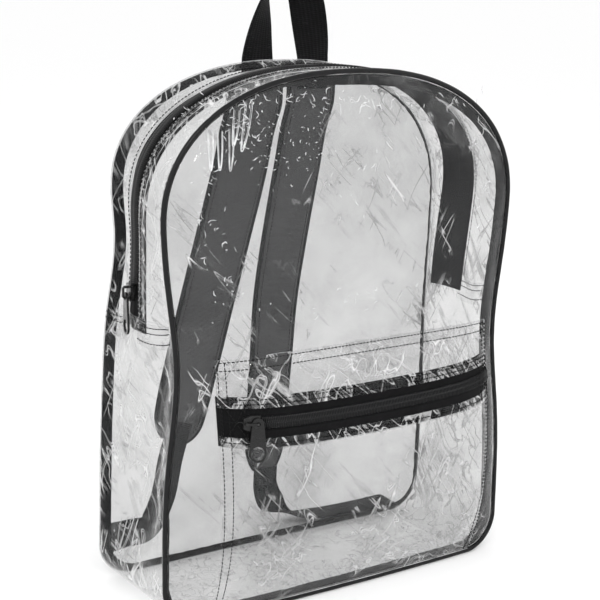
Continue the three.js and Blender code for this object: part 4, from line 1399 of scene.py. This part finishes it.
def add_handle():
    base = BAG_HEIGHT - HANDLE_SEWN
    top = BAG_HEIGHT + HANDLE_RISE - HANDLE_THICKNESS / 2
    y = float(back_at(np.array(HANDLE_MIDDLE), np.array(base))) + VINYL / 2 + GAP + HANDLE_THICKNESS / 2
    left = [(HANDLE_MIDDLE - spread * HANDLE_SPREAD, y, lerp(base, top, rise), turn)
            for rise, spread, turn in HANDLE_ROWS]
    right = [(HANDLE_MIDDLE + spread * HANDLE_SPREAD, y, lerp(base, top, rise), 1 - turn)
             for rise, spread, turn in reversed(HANDLE_ROWS[:-1])]
    rows = np.array(left + right)
    shares = np.linspace(0, 1, 170)
    centres = curve_through(rows[:, :3], shares)
    turn = math.pi * row_values(shares, rows, 3)
    along = unit(np.gradient(centres, axis=0))
    across = stack(np.cos(turn), np.sin(turn), 0 * turn)
    across = unit(across - along * np.sum(across * along, axis=1)[:, None])
    out = unit(np.cross(across, along))
    width, thickness = 0 * shares + HANDLE_WIDTH, 0 * shares + HANDLE_THICKNESS
    band_piece("handle_webbing", centres, across, out, width, thickness, WEBBING_FINISH, 8, 32)


# Hard pieces: the solids stay, with rounded edges

def finish_metal():
    for node in ("main_slider", "pocket_slider", "main_pull", "pocket_pull"):
        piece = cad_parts[node]
        piece.data.materials.clear()
        piece.data.materials.append(ENAMEL_FINISH)
        bevel = piece.modifiers.new("round edges", "BEVEL")
        bevel.width = METAL_ROUND * MM
        bevel.segments = 3
        bevel.limit_method = "ANGLE"


def replace_nodes():
    for piece, nodes in (
        ("front_vinyl", ["front_panel"]),
        ("back_vinyl", ["back_panel"]),
        ("lower_vinyl", ["lower_gusset"]),
        ("zip_front_vinyl", ["zip_gusset_front"]),
        ("zip_back_vinyl", ["zip_gusset_back"]),
        ("piping", ["front_piping"]),
        ("front_seam_tape", ["front_binding"]),
        ("back_seam_tape", ["back_binding"]),
        ("main_tape_front", ["main_zip_front_tape"]),
        ("main_tape_back", ["main_zip_back_tape"]),
        ("main_coil_a", ["main_zip_chain"]),
        ("pocket_coil_a", ["pocket_zip_chain"]),
        ("pocket_top_vinyl", ["pocket_top"]),
        ("pocket_vinyl", ["pocket_face"]),
        ("pocket_tape_upper", ["pocket_zip_upper_tape"]),
        ("pocket_tape_lower", ["pocket_zip_lower_tape"]),
        ("handle_webbing", ["handle"]),
        ("strap_left_pad", ["strap_left"]),
        ("strap_right_pad", ["strap_right"]),
        ("webbing_left", ["strap_webbing_left"]),
        ("webbing_right", ["strap_webbing_right"]),
        ("anchor_left", ["strap_anchor_left"]),
        ("anchor_right", ["strap_anchor_right"]),
    ):
        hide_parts(*nodes)


# Floor and light

def add_floor():
    mesh = bpy.data.meshes.new("floor")
    reach = FLOOR_REACH
    corners = [(-reach, -reach, 0), (reach, -reach, 0), (reach, reach, 0), (-reach, reach, 0)]
    mesh.from_pydata(corners, [], [(0, 1, 2, 3)])
    nodes = Nodes("pale_floor")
    nodes.set(Roughness=0.9, Specular_IOR_Level=0.1)
    nodes.shader.inputs["Base Color"].default_value = (*FLOOR_TINT, 1)
    mesh.materials.append(nodes.material)
    floor = bpy.data.objects.new("floor", mesh)
    bpy.context.scene.collection.objects.link(floor)


def add_light(name, place, aim, size, power):
    lamp = bpy.data.lights.new(name, "AREA")
    lamp.shape = "RECTANGLE"
    lamp.size, lamp.size_y = size
    lamp.energy = power
    light = bpy.data.objects.new(name, lamp)
    light.location = place
    light.rotation_euler = (Vector(aim) - Vector(place)).to_track_quat("-Z", "Y").to_euler()
    bpy.context.scene.collection.objects.link(light)


def add_lights():
    world = bpy.data.worlds.new("studio")
    world.use_nodes = True
    world.node_tree.nodes["Background"].inputs["Color"].default_value = (1, 1, 1, 1)
    world.node_tree.nodes["Background"].inputs["Strength"].default_value = SKY_STRENGTH
    bpy.context.scene.world = world
    aim = (0, 0, 0.2)
    for name, place, size, power in LAMPS:
        add_light(name, place, aim, size, power)
    bpy.context.scene.view_settings.view_transform = "Standard"


add_camera()
add_panels()
add_gussets()
add_piping()
add_front_ribs()
add_bindings()
add_joins()
add_zip_hems()
add_main_zip()
add_pocket_sheets()
add_pocket_zip()
add_pocket_stitches()
add_handle()
add_strap("left", LEFT_STRAP)
add_strap("right", RIGHT_STRAP)
add_webbing("left", LEFT_WEBBING)
add_webbing("right", RIGHT_WEBBING)
finish_metal()
replace_nodes()
add_floor()
add_lights()
bpy.context.scene.cycles.transparent_max_bounces = FACES_SEEN_THROUGH
